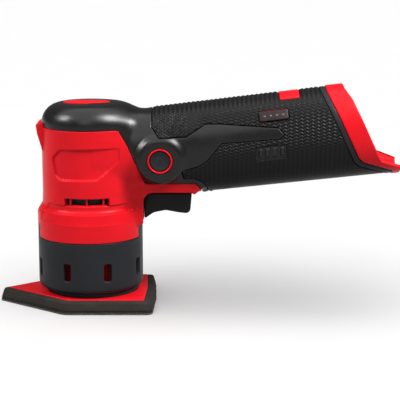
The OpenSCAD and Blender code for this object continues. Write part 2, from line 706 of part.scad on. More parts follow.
left_housing();
right_housing();
left_overmold();
right_overmold();
left_grip();
right_grip();
receiver_ring();
receiver_collar();
cap_badge();
handle_badge();
clamshell_screws();
skirt();
left_button_bezel();
right_button_bezel();
gauge_lens();
gauge_board();
control_board();
heat_sink();
terminal_block();
battery_contacts();
motor_leads();
battery_leads();
switch_module();
trigger_spring();
stator_core();
stator_coils();
hall_board();
motor_frame();
frame_screws();
upper_bearing();
lower_bearing();
pad_legs();
motor_shaft();
rotor_core();
rotor_magnets();
fan();
counterweight();
spindle_screw();
pad_bearing();
pad_hub();
pad_plate();
pad_screws();
pad_foam();
hook_layer();
sanding_sheet();
trigger();
lock_button();
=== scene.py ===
import math
import bpy
import numpy as np
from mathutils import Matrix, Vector


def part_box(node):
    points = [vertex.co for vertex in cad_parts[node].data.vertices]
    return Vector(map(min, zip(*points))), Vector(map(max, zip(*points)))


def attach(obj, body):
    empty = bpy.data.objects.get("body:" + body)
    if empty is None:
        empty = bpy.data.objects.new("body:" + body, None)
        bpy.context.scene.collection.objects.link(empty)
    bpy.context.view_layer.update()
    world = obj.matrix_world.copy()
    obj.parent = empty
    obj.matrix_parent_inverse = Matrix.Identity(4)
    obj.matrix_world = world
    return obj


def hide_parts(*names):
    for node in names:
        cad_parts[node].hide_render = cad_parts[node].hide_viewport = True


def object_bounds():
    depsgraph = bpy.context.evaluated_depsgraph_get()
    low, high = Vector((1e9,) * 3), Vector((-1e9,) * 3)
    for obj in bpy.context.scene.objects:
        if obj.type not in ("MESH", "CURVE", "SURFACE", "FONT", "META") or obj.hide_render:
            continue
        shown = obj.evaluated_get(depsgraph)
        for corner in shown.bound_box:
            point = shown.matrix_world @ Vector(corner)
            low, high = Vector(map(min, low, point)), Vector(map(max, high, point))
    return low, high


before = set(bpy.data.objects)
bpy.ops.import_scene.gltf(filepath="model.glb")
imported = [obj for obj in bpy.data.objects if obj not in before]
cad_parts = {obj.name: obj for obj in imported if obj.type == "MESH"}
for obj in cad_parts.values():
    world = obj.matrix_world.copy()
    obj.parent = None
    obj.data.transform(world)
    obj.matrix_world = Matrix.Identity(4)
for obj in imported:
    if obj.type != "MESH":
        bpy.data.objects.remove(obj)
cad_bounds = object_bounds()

MM = 0.001


def low(node):
    """Lowest corner of a CAD node, in mm."""
    return np.array(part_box(node)[0]) / MM


def high(node):
    """Highest corner of a CAD node, in mm."""
    return np.array(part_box(node)[1]) / MM


# ---- Sizes, in mm, from the frame ----
SKIRT_LOW = low("skirt")[2]
SKIRT_R = high("skirt")[0]
COLLAR_R = SKIRT_R + 0.1
COLLAR_LOW = 39.1
LUG_TOP = 46.2
NECK_R = -low("left_overmold")[0]
CROWN = high("left_overmold")[2]
CAP_LOW = 101.5
CAP_CORNER = 10.5
BUTTON_X, _, BUTTON_Z = (low("lock_button") + high("lock_button")) / 2
BUTTON_R = 5.6
BEZEL_R = 6.9
BOSS_R = 13.2
BOSS_Y = high("right_button_bezel")[1] - 0.3
PIVOT = np.array([34.6, 63.9])
HANDLE_R = 22.4
SQUARE = 2.35  # power of the handle's squarish section
WALL_DEPTH = 1.95  # from the rubber's face to the red wall under it
WEB_DEPTH = 1.66  # from the rubber's face to the thin web at the bottom of its grooves
WEB = 0.25
SEAM = 0.06
SIDES = ((-1, "left"), (1, "right"))  # Y's sign, and the order of rings that keeps faces turned outwards

# Side-view outlines, X and Z: smooth rubber, bare red plastic, the lip in front of the cap, the red strip
# over the trigger, the lines where grip, ring and collar end, and the sunk field on the head
SMOOTH = [(-50, 50), (66.5, 50), (66.5, 68.6), (63.6, 72.2), (60.2, 73.6), (53.6, 73.6), (52.5, 78.4),
          (61.3, 81.2), (66, 84), (74.5, 94.3), (89.8, 95.4), (106.3, 96.8), (109, 98.9), (105.7, 102.9),
          (89.8, 103.9), (73.3, 104.9), (65.1, 104.7), (54.7, 97.6), (39.8, 97.4), (35.7, 102.8), (35.7, 130),
          (-50, 130)]
BARE = [(-50, 30), (63.4, 30), (63.4, 66), (62.8, 67.4), (60.2, 70.5), (32, 70.5), (30.3, 73.6), (26.5, 83.1),
        (22.8, 92), (17.9, 100.9), (16, CAP_LOW), (-50, CAP_LOW)]
LIP = [(-23, 88), (-23, 105.2), (-24.2, 104.9), (-28.6, 103.4), (-29.2, 102.6), (-28.6, 98), (-26.7, 91.5),
       (-25.8, 88)]
SPINE = [(20, 46.5), (30.5, 46.5), (30.9, 60.6), (31.8, 63), (33.6, 64.6), (36, 65.3), (57.4, 65.2),
         (59.6, 64.3), (63.6, 67.9), (60.2, 70.4), (36, 72), (20, 74)]
GRIP_END = [(129.1, 130), (129.1, 122.2), (147.4, 83.6), (150.6, 80.8), (166, 76), (166, 50)]
RING_END = [(132.4, 130), (132.4, 122.4), (150, 85.6), (152.6, 83.2), (169.4, 77.6), (169.4, 50)]
COLLAR_END = [(142.6, 130), (142.6, 124), (146.6, 118.3), (160.8, 87.6), (162.8, 84), (174.8, 79.3),
              (174.3, 76), (172.6, 50)]
RECESS = [(-19, 86), (-15.3, 90.1), (-13.7, 90.9), (18.1, 91.7), (18.3, 84.5), (6, 74.2), (-14.5, 73.8),
          (-17.6, 76)]

# Smaller features: ranges are lowest and highest X, then Z
VENT = (-12.4, 12.4, 59.6, 63.8)
TRIGGER_SLOT_X = 44.55
TRIGGER_SLOT_HALF = (13.85, 9.4)
EMBOSS = (93.4, 110.0, 85.6, 92.9)
SCREWS = [(34, 102.5), (61.5, 107), (66, 74), (88, 75), (88, 109.5)]
SCREW_HOLE_R = 3.25
SCREW_TUBE_R = 4.2
SCREW_SEAT = 10.9
BADGE_X = (low("handle_badge")[0] + high("handle_badge")[0]) / 2
BADGE_HALF = ((high("handle_badge")[0] - low("handle_badge")[0]) / 2, high("handle_badge")[1])
CAP_BADGE_X = -1
CAP_BADGE_HALF = (13.6, 7.8)


# ---- Shape functions: negative inside a solid, arrays in, arrays out ----
def ease(x, a, b):
    """0 at a, 1 at b, smooth between."""
    t = np.clip((x - a) / (b - a), 0, 1)
    return t * t * (3 - 2 * t)


def join(a, b, k):
    """Union of two solids with a fillet of about k."""
    h = np.clip(0.5 + 0.5 * (b - a) / k, 0, 1)
    return b + (a - b) * h - k * h * (1 - h)


def meet(a, b, k):
    """Where two solids overlap, its edge rounded by about k."""
    return -join(-a, -b, k)


def beyond(u, w):
    """Distance outside a right-angled corner, u and w being the distances past its two faces."""
    return np.hypot(np.maximum(u, 0), np.maximum(w, 0))


def outline(points, x, z):
    """Distance to a side-view outline, positive inside it."""
    p = np.array(points, float)
    best = np.full(x.shape, 1e9)
    inside = np.zeros(x.shape, bool)
    for a, b in zip(p, np.roll(p, -1, 0)):
        e = b - a
        t = np.clip(((x - a[0]) * e[0] + (z - a[1]) * e[1]) / (e @ e), 0, 1)
        best = np.minimum(best, (x - a[0] - t * e[0]) ** 2 + (z - a[1] - t * e[1]) ** 2)
        if abs(e[1]) > 1e-9:
            inside ^= ((a[1] > z) != (b[1] > z)) & (x < a[0] + (z - a[1]) * e[0] / e[1])
    return np.where(inside, 1, -1) * np.sqrt(best)


def top_line(x):
    """Height of the handle's top."""
    return np.where(x < 36, np.interp(x, [10, 28, 36], [109.4, 109.9, 111.5]), 107.18 + 0.12 * x)


def under_line(x):
    """Height of the handle's underside."""
    return np.where(x < 62, np.interp(x, [10, 34, 58, 62], [66, 65.2, 65.2, 63.9]), 57.5 + 0.103 * x)


def half_width(x):
    return np.interp(x, [10, 24, 38, 60, 130, 180], [21.4, 21.0, 21.9, 22.2, 22.8, 23.4])


def half_height(x):
    return (top_line(x) - under_line(x)) / 2


def middle_line(x):
    return (top_line(x) + under_line(x)) / 2


def handle(x, y, z):
    """The handle, from inside the head backwards."""
    v = np.abs(z - middle_line(x)) / half_height(x)
    u = np.abs(y) / half_width(x)
    return np.maximum(((u ** SQUARE + v ** SQUARE) ** (1 / SQUARE) - 1) * HANDLE_R, 8 - x)


def head_radius(x, y, z):
    """The head's radius: a collar with a scooped band at each side, and the neck above it."""
    side = np.degrees(np.arctan2(np.abs(x), np.abs(y) + 1e-9))
    scoop = 1 - ease(side, 58 - (z - 55.1), 62 - (z - 55.1))
    plain = np.interp(z, [49.5, 53.2, 54.2, 58.3, 64], [COLLAR_R, COLLAR_R, 29.4, 26.9, NECK_R])
    cut = np.interp(z, [49.3, 49.8, 54.9, 55.2, 55.9, 57.2, 58.8, 59.9, 60.1, 64],
                    [COLLAR_R, COLLAR_R - 0.15, 28.7, 28.35, 26.9, 26.25, 26.1, 26.2, 26.95, NECK_R])
    return plain + (cut - plain) * scoop


def head(x, y, z):
    """The head, with its domed cap and the sunk field on each side."""
    r = np.hypot(x, y)
    dr = r - (NECK_R - CAP_CORNER)
    dz = z - (CROWN - 0.1 - 0.5 * (r / 20) ** 2 - CAP_CORNER)
    cap = beyond(dr, dz) + np.minimum(np.maximum(dr, dz), 0) - CAP_CORNER
    recess = 1.15 * ease(outline(RECESS, x, z), -0.35, 0.7) * (1 - 0.6 * ease(x * 0.6 - z, -78, -66))
    recess = np.where((np.abs(y) > 12) & (x < 22), recess, 0)
    return np.where(z < 80, r - head_radius(x, y, z), cap) + recess


def boss(x, y, z):
    """The round boss that carries the lock button."""
    corner = 3.2
    q = np.hypot(x - BUTTON_X, z - BUTTON_Z) - (BOSS_R - corner)
    h = np.abs(y) - (BOSS_Y - corner)
    return beyond(q, h) + np.minimum(np.maximum(q, h), 0) - corner


def form(x, y, z):
    """The whole outer form, without its texture."""
    f = join(head(x, y, z), handle(x, y, z), 2.5 + 4 * ease(z, 72, 84) + 3 * ease(z, 97, 107))
    f = join(f, boss(x, y, z), 3.6)
    near = (z < 76) & (x > 16) & (x < 68)
    if near.any():
        xs, ys, zs = x[near], y[near], z[near]
        spine = meet(-outline(SPINE, xs, zs), np.abs(ys) - 12 - 3.6 * ease(zs, 54, 66), 1.2)
        f[near] = join(f[near], spine, 2.2)
    return f


# ---- The skin: sections shot outwards from a line through the head and the handle ----
def section_planes():
    """Centre and direction of each section: level through the lower head, fanned round the corner over the
    trigger, then upright along the handle."""
    levels = np.concatenate([
        np.arange(COLLAR_LOW, 49.2, 0.8), [49.3, 49.55, 49.8],
        np.arange(50.6, 54.6, 0.8), [54.9, 55.15, 55.4],
        np.arange(55.8, 59.7, 0.45), [59.9, 60.1, 60.4],
        np.arange(60.9, PIVOT[1] - 0.2, 0.6)])
    planes = [((0, z), (-1, 0)) for z in levels]
    for a in np.radians(np.linspace(0, 90, 170)):
        way = np.array([-math.cos(a), math.sin(a)])
        planes.append((PIVOT + way * (PIVOT[0] - 10.4 * a / (math.pi / 2)), way))
    for x in np.arange(PIVOT[0] + 0.5, 176.2, 0.5):
        planes.append(((x, float(middle_line(x))), (0, 1)))
    return planes


def distances(p):
    """How far along a path each of its points is."""
    return np.concatenate([[0], np.cumsum(np.linalg.norm(np.diff(p, axis=0), axis=1))])


def points_at(p, where):
    """The points of a path at given distances along it."""
    return np.stack([np.interp(where, distances(p), p[:, k]) for k in range(3)], 1)


def skin_grid(columns=170, rays=361, reach=62, step=1.2):
    """Where rays from each section's centre leave the form, evenly spaced along half of the section, then
    mirrored. Each point has X, Y, Z and its distance along the section from the top."""
    planes = section_planes()
    centre = np.array([p[0] for p in planes], float)
    way = np.array([p[1] for p in planes], float)
    turn = np.linspace(0, math.pi, rays)
    cos, sin = np.cos(turn)[None, :], np.sin(turn)[None, :]

    def at(t):
        x = centre[:, :1] + way[:, :1] * cos * t
        z = centre[:, 1:] + way[:, 1:] * cos * t
        return x, sin * t, z

    inner = np.zeros((len(planes), rays))
    for t in np.arange(0, reach, step):
        x, y, z = at(np.full(inner.shape, t))
        inner = np.where(form(x, y, z) < 0, t, inner)
    outer = inner + step
    for _ in range(13):
        mid = (inner + outer) / 2
        x, y, z = at(mid)
        hit = form(x, y, z) < 0
        inner = np.where(hit, mid, inner)
        outer = np.where(hit, outer, mid)
    x, y, z = at((inner + outer) / 2)
    half = np.zeros((len(planes), columns, 4))
    for i in range(len(planes)):
        p = np.stack([x[i], y[i], z[i]], 1)
        half[i, :, 3] = np.linspace(0, distances(p)[-1], columns)
        half[i, :, :3] = points_at(p, half[i, :, 3])
    half[:, [0, -1], 1] = 0
    other = half[:, -2:0:-1].copy()
    other[..., 1] *= -1
    return np.concatenate([half, other], axis=1)


def grid_triangles(rows, columns, wrap=True):
    """Two triangles for each cell of a grid of points, its columns joined round."""
    i, j = np.meshgrid(np.arange(rows - 1), np.arange(columns if wrap else columns - 1), indexing="ij")
    k = (j + 1) % columns
    a, b, c, d = i * columns + j, i * columns + k, (i + 1) * columns + k, (i + 1) * columns + j
    return np.concatenate([np.stack([a, b, c], -1).reshape(-1, 3), np.stack([a, c, d], -1).reshape(-1, 3)])


def facing(p, t, away):
    """Triangles and vertex normals, turned so that they face along away."""
    face = np.cross(p[t[:, 1]] - p[t[:, 0]], p[t[:, 2]] - p[t[:, 0]])
    n = np.zeros_like(p)
    for k in range(3):
        np.add.at(n, t[:, k], face)
    n /= np.maximum(np.linalg.norm(n, axis=1, keepdims=True), 1e-12)
    if (n * away).sum() < 0:
        t, n = t[:, ::-1], -n
    return t, n


# ---- Cutting pieces out of a surface. A surface is (rows of x, y, z, nx, ny, nz, ...; triangles) ----
def cut(v, t, f):
    """Splits the triangles along f = 0. Returns the rows, the triangles and each triangle's side."""
    f = np.where(np.abs(f) < 0.02, 0.0, f)
    s = np.sign(f)
    edges = np.sort(np.concatenate([t[:, [0, 1]], t[:, [1, 2]], t[:, [2, 0]]]), axis=1)
    crossing = s[edges[:, 0]] * s[edges[:, 1]] < 0
    pairs, back = np.unique(edges[crossing], axis=0, return_inverse=True)
    share = (f[pairs[:, 0]] / (f[pairs[:, 0]] - f[pairs[:, 1]]))[:, None]
    added = v[pairs[:, 0]] * (1 - share) + v[pairs[:, 1]] * share
    index = np.full(len(edges), -1)
    index[crossing] = len(v) + back.ravel()
    e = index.reshape(3, -1).T
    count = (e >= 0).sum(1)
    whole = t[count == 0]
    out = [whole]
    sides = [np.sign(s[whole].sum(1))]
    for r in range(3):
        a, b, c = t[:, r], t[:, (r + 1) % 3], t[:, (r + 2) % 3]
        ab, bc, ca = e[:, r], e[:, (r + 1) % 3], e[:, (r + 2) % 3]
        m = (count == 2) & (ab >= 0) & (ca >= 0)
        out += [np.stack([a, ab, ca], 1)[m], np.stack([ab, b, c], 1)[m], np.stack([ab, c, ca], 1)[m]]
        sides += [s[a[m]], s[b[m]], s[b[m]]]
        m = (count == 1) & (bc >= 0)
        out += [np.stack([a, b, bc], 1)[m], np.stack([a, bc, c], 1)[m]]
        sides += [s[b[m]], s[c[m]]]
    return np.concatenate([v, added]), np.concatenate(out), np.concatenate(sides)


def compact(v, t):
    """Drops the rows that no triangle uses."""
    used, back = np.unique(t, return_inverse=True)
    return v[used], back.reshape(t.shape)


def patch(surface, region, gap, edge, depth=None):
    """The part of a surface where region() > gap, its border rounded over, edge wide and depth deep."""
    depth = edge if depth is None else depth
    v, t = surface
    f = region(v[:, :3])
    t = t[(f[t] > gap - 0.001).any(1)]
    v, t = compact(v, t)
    v, t, side = cut(v, t, region(v[:, :3]) - gap)
    v, t = compact(v, t[side > 0])
    if edge:
        for level in (0.25, 0.6, 1.0):
            v, t, _ = cut(v, t, region(v[:, :3]) - gap - level * edge)
        q = 1 - np.clip((region(v[:, :3]) - gap) / edge, 0, 1)
        v[:, :3] -= v[:, 3:6] * (depth * (1 - np.sqrt(1 - np.minimum(q, 0.999) ** 2)))[:, None]
    return compact(v, t)


def raised(surface, height):
    """A surface moved outwards by one height, or by a height for each row."""
    v, t = surface
    v = v.copy()
    v[:, :3] += v[:, 3:6] * np.broadcast_to(height, len(v))[:, None]
    return v, t


def thicken(v, t, wall):
    """A closed shell: the surface, a copy of it further in, and walls along its borders."""
    inner = v.copy()
    inner[:, :3] -= v[:, 3:6] * np.broadcast_to(wall, len(v))[:, None]
    edges = np.concatenate([t[:, [0, 1]], t[:, [1, 2]], t[:, [2, 0]]])
    key = np.sort(edges, axis=1) @ np.array([len(v), 1])
    _, first, number = np.unique(key, return_index=True, return_counts=True)
    rim = edges[first[number == 1]]
    a, b = rim[:, 0], rim[:, 1]
    n = len(v)
    sides = [np.stack([b, a, a + n], 1), np.stack([b, a + n, b + n], 1)]
    return np.concatenate([v, inner]), np.concatenate([t, t[:, ::-1] + n] + sides)


# ---- Blender objects ----
def add_object(name, data):
    obj = bpy.data.objects.new(name, data)
    bpy.context.scene.collection.objects.link(obj)
    return obj


def mesh_object(name, parts, material, body, angle=38):
    """One object from (points in mm, faces) parts."""
    points, faces, base = [], [], 0
    for p, f in parts:
        p = np.asarray(p, float)[:, :3]
        points.append(p * MM)
        faces += [[int(i) + base for i in face] for face in f]
        base += len(p)
    mesh = bpy.data.meshes.new(name)
    mesh.from_pydata(np.concatenate(points).tolist(), [], faces)
    mesh.validate()
    mesh.shade_smooth()
    mesh.set_sharp_from_angle(angle=math.radians(angle))
    mesh.materials.append(material)
    obj = add_object(name, mesh)
    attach(obj, body)
    return obj


def loft(rings, close=True):
    """Rings of equal length to (points, faces), the ends closed."""
    n = len(rings[0])
    faces = []
    for r in range(len(rings) - 1):
        for i in range(n):
            j = (i + 1) % n
            faces.append((r * n + i, r * n + j, (r + 1) * n + j, (r + 1) * n + i))
    if close:
        faces.append(tuple(range(n - 1, -1, -1)))
        faces.append(tuple((len(rings) - 1) * n + i for i in range(n)))
    return np.concatenate([np.asarray(r, float) for r in rings]), faces


def turned(profile, steps=96, closed=False):
    """(radius, height) pairs turned about Z, lowest first, as a solid or as a closed ring."""
    turn = np.linspace(0, 2 * math.pi, steps, endpoint=False)
    rings = [[(r * math.cos(a), r * math.sin(a), h) for a in turn]
             for r, h in ((max(r, 0.001), h) for r, h in profile)]
    p, f = loft(rings, close=not closed)
    if closed:
        n, m = steps, len(rings)
        f += [((m - 1) * n + i, (m - 1) * n + (i + 1) % n, (i + 1) % n, i) for i in range(n)]
    return p, f


def along_y(p, x, z):
    """Turns a shape about Z into one about an axis along Y through x, z."""
    p = np.asarray(p, float)
    return np.stack([p[:, 0] + x, p[:, 2], -p[:, 1] + z], 1)


def unit(w):
    return w / np.linalg.norm(w)


def outward(p):
    """The direction out of a closed anticlockwise outline at each of its points."""
    along = np.roll(p, -1, 0) - np.roll(p, 1, 0)
    return np.stack([along[:, 1], -along[:, 0]], 1) / np.linalg.norm(along[:, :2], axis=1, keepdims=True)


def corner_outline(corners, radii, inset, steps):
    """An anticlockwise outline with rounded corners, moved inwards."""
    c = np.array(corners, float)
    n = len(c)
    moved = []
    for i in range(n):
        e0, e1 = unit(c[i] - c[i - 1]), unit(c[(i + 1) % n] - c[i])
        a, b = np.array([-e0[1], e0[0]]), np.array([-e1[1], e1[0]])
        moved.append(c[i] + inset * (a + b) / (1 + a @ b))
    c = np.array(moved)
    out = []
    for i in range(n):
        r = max(0.3, radii[i] - inset)
        a, b = unit(c[i - 1] - c[i]), unit(c[(i + 1) % n] - c[i])
        half = math.acos(np.clip(a @ b, -1, 1)) / 2
        mid = c[i] + unit(a + b) * r / math.sin(half)
        p, q = c[i] + a * r / math.tan(half) - mid, c[i] + b * r / math.tan(half) - mid
        start = math.atan2(p[1], p[0])
        turn = (math.atan2(q[1], q[0]) - start + 3 * math.pi) % (2 * math.pi) - math.pi
        for k in range(steps + 1):
            angle = start + turn * k / steps
            out.append(mid + r * np.array([math.cos(angle), math.sin(angle)]))
    return np.array(out)


# ---- Materials ----
MATERIALS = {}


class Nodes:
    """A short way to write a material's node tree."""

    def __init__(self, name):
        self.material = MATERIALS[name] = bpy.data.materials.new(name)
        self.material.use_nodes = True
        self.tree = self.material.node_tree
        self.shader = self.tree.nodes["Principled BSDF"]
        self.place = self.add("ShaderNodeTexCoord").outputs["Object"]

    def add(self, kind, inputs=(), **settings):
        node = self.tree.nodes.new(kind)
        for key, value in settings.items():
            setattr(node, key, value)
        for key, value in dict(inputs).items():
            if isinstance(value, bpy.types.NodeSocket):
                self.tree.links.new(value, node.inputs[key])
            else:
                node.inputs[key].default_value = value
        return node

    def noise(self, size, detail=3.0, rough=0.55, vector=None):
        """Noise whose features are about size mm across, as a factor."""
        inputs = {"Vector": vector or self.place, "Scale": 1 / (size * MM), "Detail": detail}
        return self.add("ShaderNodeTexNoise", {**inputs, "Roughness": rough}).outputs["Fac"]

    def cells(self, size, **settings):
        """Distance to the middle of cells about size mm across."""
        inputs = {"Vector": self.place, "Scale": 1 / (size * MM)}
        return self.add("ShaderNodeTexVoronoi", inputs, **settings).outputs["Distance"]

    def stretched(self, scale, rotation=(0, 0, 0)):
        inputs = {"Vector": self.place, "Scale": scale, "Rotation": rotation}
        return self.add("ShaderNodeMapping", inputs).outputs["Vector"]

    def axes(self):
        """X, Y and Z, in metres."""
        return self.add("ShaderNodeSeparateXYZ", {0: self.place}).outputs

    def spread(self, value, a, b, c=0, d=1):
        """value from a..b to c..d."""
        inputs = {"Value": value, "From Min": a, "From Max": b, "To Min": c, "To Max": d}
        return self.add("ShaderNodeMapRange", inputs).outputs["Result"]

    def math(self, kind, a, b=0.0):
        return self.add("ShaderNodeMath", {0: a, 1: b}, operation=kind).outputs[0]

    def plus(self, a, b):
        return self.math("ADD", a, b)

    def minus(self, a, b):
        return self.math("SUBTRACT", a, b)

    def times(self, a, b):
        return self.math("MULTIPLY", a, b)

    def mix(self, factor, a, b):
        """Colour a where factor is 0, and b where it is 1."""
        a, b = ((*c, 1) if isinstance(c, tuple) else c for c in (a, b))
        return self.add("ShaderNodeMix", {0: factor, 6: a, 7: b}, data_type="RGBA").outputs[2]

    def finish(self, colour, rough, height, bump_mm, strength=0.6, specular=0.5, **sockets):
        self.tree.links.new(colour, self.shader.inputs["Base Color"])
        self.tree.links.new(rough, self.shader.inputs["Roughness"])
        bump = self.add("ShaderNodeBump", {"Height": height, "Distance": bump_mm * MM, "Strength": strength})
        self.tree.links.new(bump.outputs["Normal"], self.shader.inputs["Normal"])
        for key, value in {"Specular_IOR_Level": specular, **sockets}.items():
            self.shader.inputs[key.replace("_", " ")].default_value = value


def shade(colour, factor):
    """A darker or lighter colour."""
    return tuple(c * factor for c in colour)


def moulded(name, colour, rough, grain=0.35, bump=0.02, wear=1.6, **sockets):
    """Moulded plastic: a fine spark-eroded grain, slightly uneven gloss, and paler worn edges."""
    n = Nodes(name)
    cloud = n.noise(22, 4)
    base = n.mix(n.spread(cloud, 0.3, 0.7), shade(colour, 0.92), shade(colour, 1.06))
    edge = n.add("ShaderNodeNewGeometry").outputs["Pointiness"]
    worn = n.times(n.spread(edge, 0.53, 0.6), n.spread(n.noise(5, 3), 0.45, 0.65, 0, 0.55))
    base = n.mix(worn, base, tuple(min(1, c * wear + 0.006) for c in colour))
    fine = n.noise(grain, 2)
    scuff = n.spread(n.noise(9, 5, 0.65), 0.35, 0.65, rough - 0.06, rough + 0.06)
    gloss = n.plus(scuff, n.spread(fine, 0.3, 0.7, -0.03, 0.03))
    n.finish(base, gloss, fine, bump, **sockets)


def rubber(name, colour, rough, grain=0.3, bump=0.03, **sockets):
    """Soft rubber: a matt grain with faint dusty patches."""
    n = Nodes(name)
    dust = n.noise(14, 5, 0.6)
    fine = n.noise(grain, 2)
    base = n.mix(n.spread(dust, 0.35, 0.7), shade(colour, 0.88), shade(colour, 1.12))
    base = n.mix(n.spread(fine, 0.35, 0.75, 0, 0.5), base, shade(colour, 1.35))
    dusty = n.spread(dust, 0.3, 0.7, rough - 0.05, rough + 0.06)
    gloss = n.plus(dusty, n.spread(fine, 0.3, 0.7, -0.03, 0.03))
    n.finish(base, gloss, fine, bump, **sockets)


def woven_grip(name, colour, rough, **sockets):
    """Grip rubber: rows of fine wavy lines round the handle, with painted highlight on their ridges and
    painted shade in their grooves, and faint dusty patches.
    """
    n = Nodes(name)
    x, y, z = (n.times(axis, 1 / MM) for axis in n.axes())
    middle = n.plus(n.times(x, 0.1115), 82.3)
    turn = n.math("ARCTAN2", n.math("ABSOLUTE", y), n.minus(z, middle))
    across = n.times(turn, 24.0)
    sway = n.times(n.math("SINE", n.times(x, 2 * math.pi / 3.0)), 0.22)
    phase = n.plus(n.plus(n.times(across, 1 / 1.9), sway), n.times(x, 1 / 15))
    rows = n.math("SINE", n.times(phase, 2 * math.pi))
    uprights = n.math("COSINE", n.times(x, 2 * math.pi / 2.55))
    on_side = n.times(n.spread(across, 13, 17), n.spread(across, 38, 46, 1, 0))
    on_side = n.times(on_side, n.spread(x, 56, 64))
    lower = n.times(n.spread(across, 36, 44, 0, 0.3), n.spread(across, 54, 62, 1, 0))
    upper = n.spread(across, 11, 15, 0.7, 0)
    weave = n.plus(n.times(rows, on_side), n.times(uprights, n.plus(lower, upper)))
    dust = n.noise(14, 5, 0.6)
    fine = n.noise(0.35, 2)
    # Painted highlight on the pattern's ridges and painted shade in its grooves: the same pattern as the
    # bump, put into the colour.
    base = n.mix(n.spread(weave, -0.9, 0.9), shade(colour, 0.25), shade(colour, 2.2))
    base = n.mix(n.spread(dust, 0.35, 0.7, 0, 0.3), base, shade(colour, 1.3))
    gloss = n.plus(n.spread(dust, 0.3, 0.7, rough - 0.05, rough + 0.06), n.spread(weave, -1, 1, 0.1, -0.1))
    height = n.plus(weave, n.times(fine, 0.15))
    n.finish(base, gloss, height, 0.16, 1.0, **sockets)


def metal(name, colour, rough, grain=0.25, bump=0.006, streak=14):
    """Machined or rolled metal: fine lines one way and small stains."""
    n = Nodes(name)
    lines = n.noise(grain * streak / 3, 3, 0.6, n.stretched((1, 1, streak)))
    stain = n.noise(6, 4)
    base = n.mix(n.spread(stain, 0.4, 0.7), shade(colour, 0.86), shade(colour, 1.05))
    gloss = n.plus(n.spread(lines, 0.3, 0.7, rough - 0.07, rough + 0.07), n.spread(stain, 0.4, 0.7, 0, 0.08))
    n.finish(base, gloss, lines, bump, Metallic=1.0)


def foam(name, colour):
    """Moulded open-cell foam: pores and a slightly dusty face."""
    n = Nodes(name)
    pores = n.cells(0.55)
    dust = n.noise(7, 4)
    base = n.mix(n.spread(pores, 0.0, 0.5), shade(colour, 0.5), colour)
    base = n.mix(n.spread(dust, 0.45, 0.75, 0, 0.6), base, shade(colour, 1.5))
    n.finish(base, n.spread(pores, 0, 0.6, 0.98, 0.82), pores, 0.12, 0.7, specular=0.12)


def hooks(name, colour):
    """Hook fabric seen edge on: fine upright stalks."""
    n = Nodes(name)
    stalks = n.noise(0.28, 2, 0.5, n.stretched((1, 1, 0.15)))
    base = n.mix(n.spread(stalks, 0.35, 0.65), shade(colour, 0.4), shade(colour, 1.8))
    n.finish(base, n.spread(stalks, 0.3, 0.7, 0.7, 1.0), stalks, 0.25, 0.9, specular=0.12)


def abrasive(name, colour):
    """Abrasive grit in resin."""
    n = Nodes(name)
    grit = n.cells(0.32)
    tint = n.spread(n.noise(0.5, 2), 0.35, 0.65)
    base = n.mix(tint, shade(colour, 0.55), shade(colour, 1.7))
    n.finish(base, n.spread(grit, 0, 0.6, 0.5, 0.9), grit, 0.2, 0.9)


def board(name, colour):
    """Circuit board: solder mask over faint tracks."""
    n = Nodes(name)
    tracks = n.math("FRACT", n.times(n.cells(2.2, distance="MANHATTAN"), 6.0))
    line = n.spread(n.math("ABSOLUTE", n.minus(tracks, 0.5)), 0.28, 0.36)
    base = n.mix(line, colour, shade(colour, 1.7))
    n.finish(base, n.spread(line, 0, 1, 0.35, 0.28), line, 0.03, 0.5, Coat_Weight=0.3)


def windings(name, colour):
    """Enamelled copper wire, side by side."""
    n = Nodes(name)
    turn = n.math("FRACT", n.times(n.axes()["Z"], 1 / (0.6 * MM)))
    wire = n.minus(1.0, n.math("POWER", n.times(n.minus(turn, 0.5), 2.0), 2.0))
    base = n.mix(n.spread(wire, 0, 1), shade(colour, 0.3), colour)
    n.finish(base, n.spread(n.noise(1.5), 0.3, 0.7, 0.22, 0.36), wire, 0.15, 0.8, Metallic=0.85)


def laminations(name, colour):
    """Stacked electrical steel: dark lines between thin sheets."""
    n = Nodes(name)
    sheet = n.math("ABSOLUTE", n.minus(n.math("FRACT", n.times(n.axes()["Z"], 1 / (0.5 * MM))), 0.5))
    line = n.spread(sheet, 0.36, 0.48)
    base = n.mix(line, n.mix(n.noise(3), shade(colour, 0.8), colour), shade(colour, 0.3))
    n.finish(base, n.spread(line, 0, 1, 0.38, 0.7), line, 0.06, 0.5, Metallic=0.9)


def window(name, colour):
    """Smoked plastic window: glossy, with faint hairline scratches."""
    n = Nodes(name)
    hair = n.noise(3, 2, 0.5, n.stretched((1, 8, 22), (0, 0.5, 0)))
    base = n.mix(n.spread(n.noise(4), 0.3, 0.7), shade(colour, 0.85), shade(colour, 1.2))
    n.finish(base, n.spread(hair, 0.4, 0.75, 0.3, 0.42), hair, 0.003, 0.4, specular=0.16)


moulded("red_plastic", (0.39, 0.0035, 0.0075), 0.36, 0.5, 0.010, 1.2, specular=0.09)
rubber("smooth_rubber", (0.0032, 0.0032, 0.0030), 0.31, 0.4, 0.008, specular=0.27)
woven_grip("grip_rubber", (0.0034, 0.0034, 0.0033), 0.44, specular=0.10)
moulded("dark_plastic", (0.0105, 0.0110, 0.0128), 0.46, 0.45, 0.014, 1.8, specular=0.10)
moulded("black_plastic", (0.0022, 0.0022, 0.0025), 0.42, 0.4, 0.012, 1.8, specular=0.14)
window("gauge_window", (0.012, 0.007, 0.008))
moulded("gauge_dot", (0.035, 0.016, 0.016), 0.5)
board("circuit_board", (0.01, 0.10, 0.04))
metal("bright_steel", (0.62, 0.62, 0.64), 0.3)
metal("black_steel", (0.09, 0.09, 0.095), 0.42)
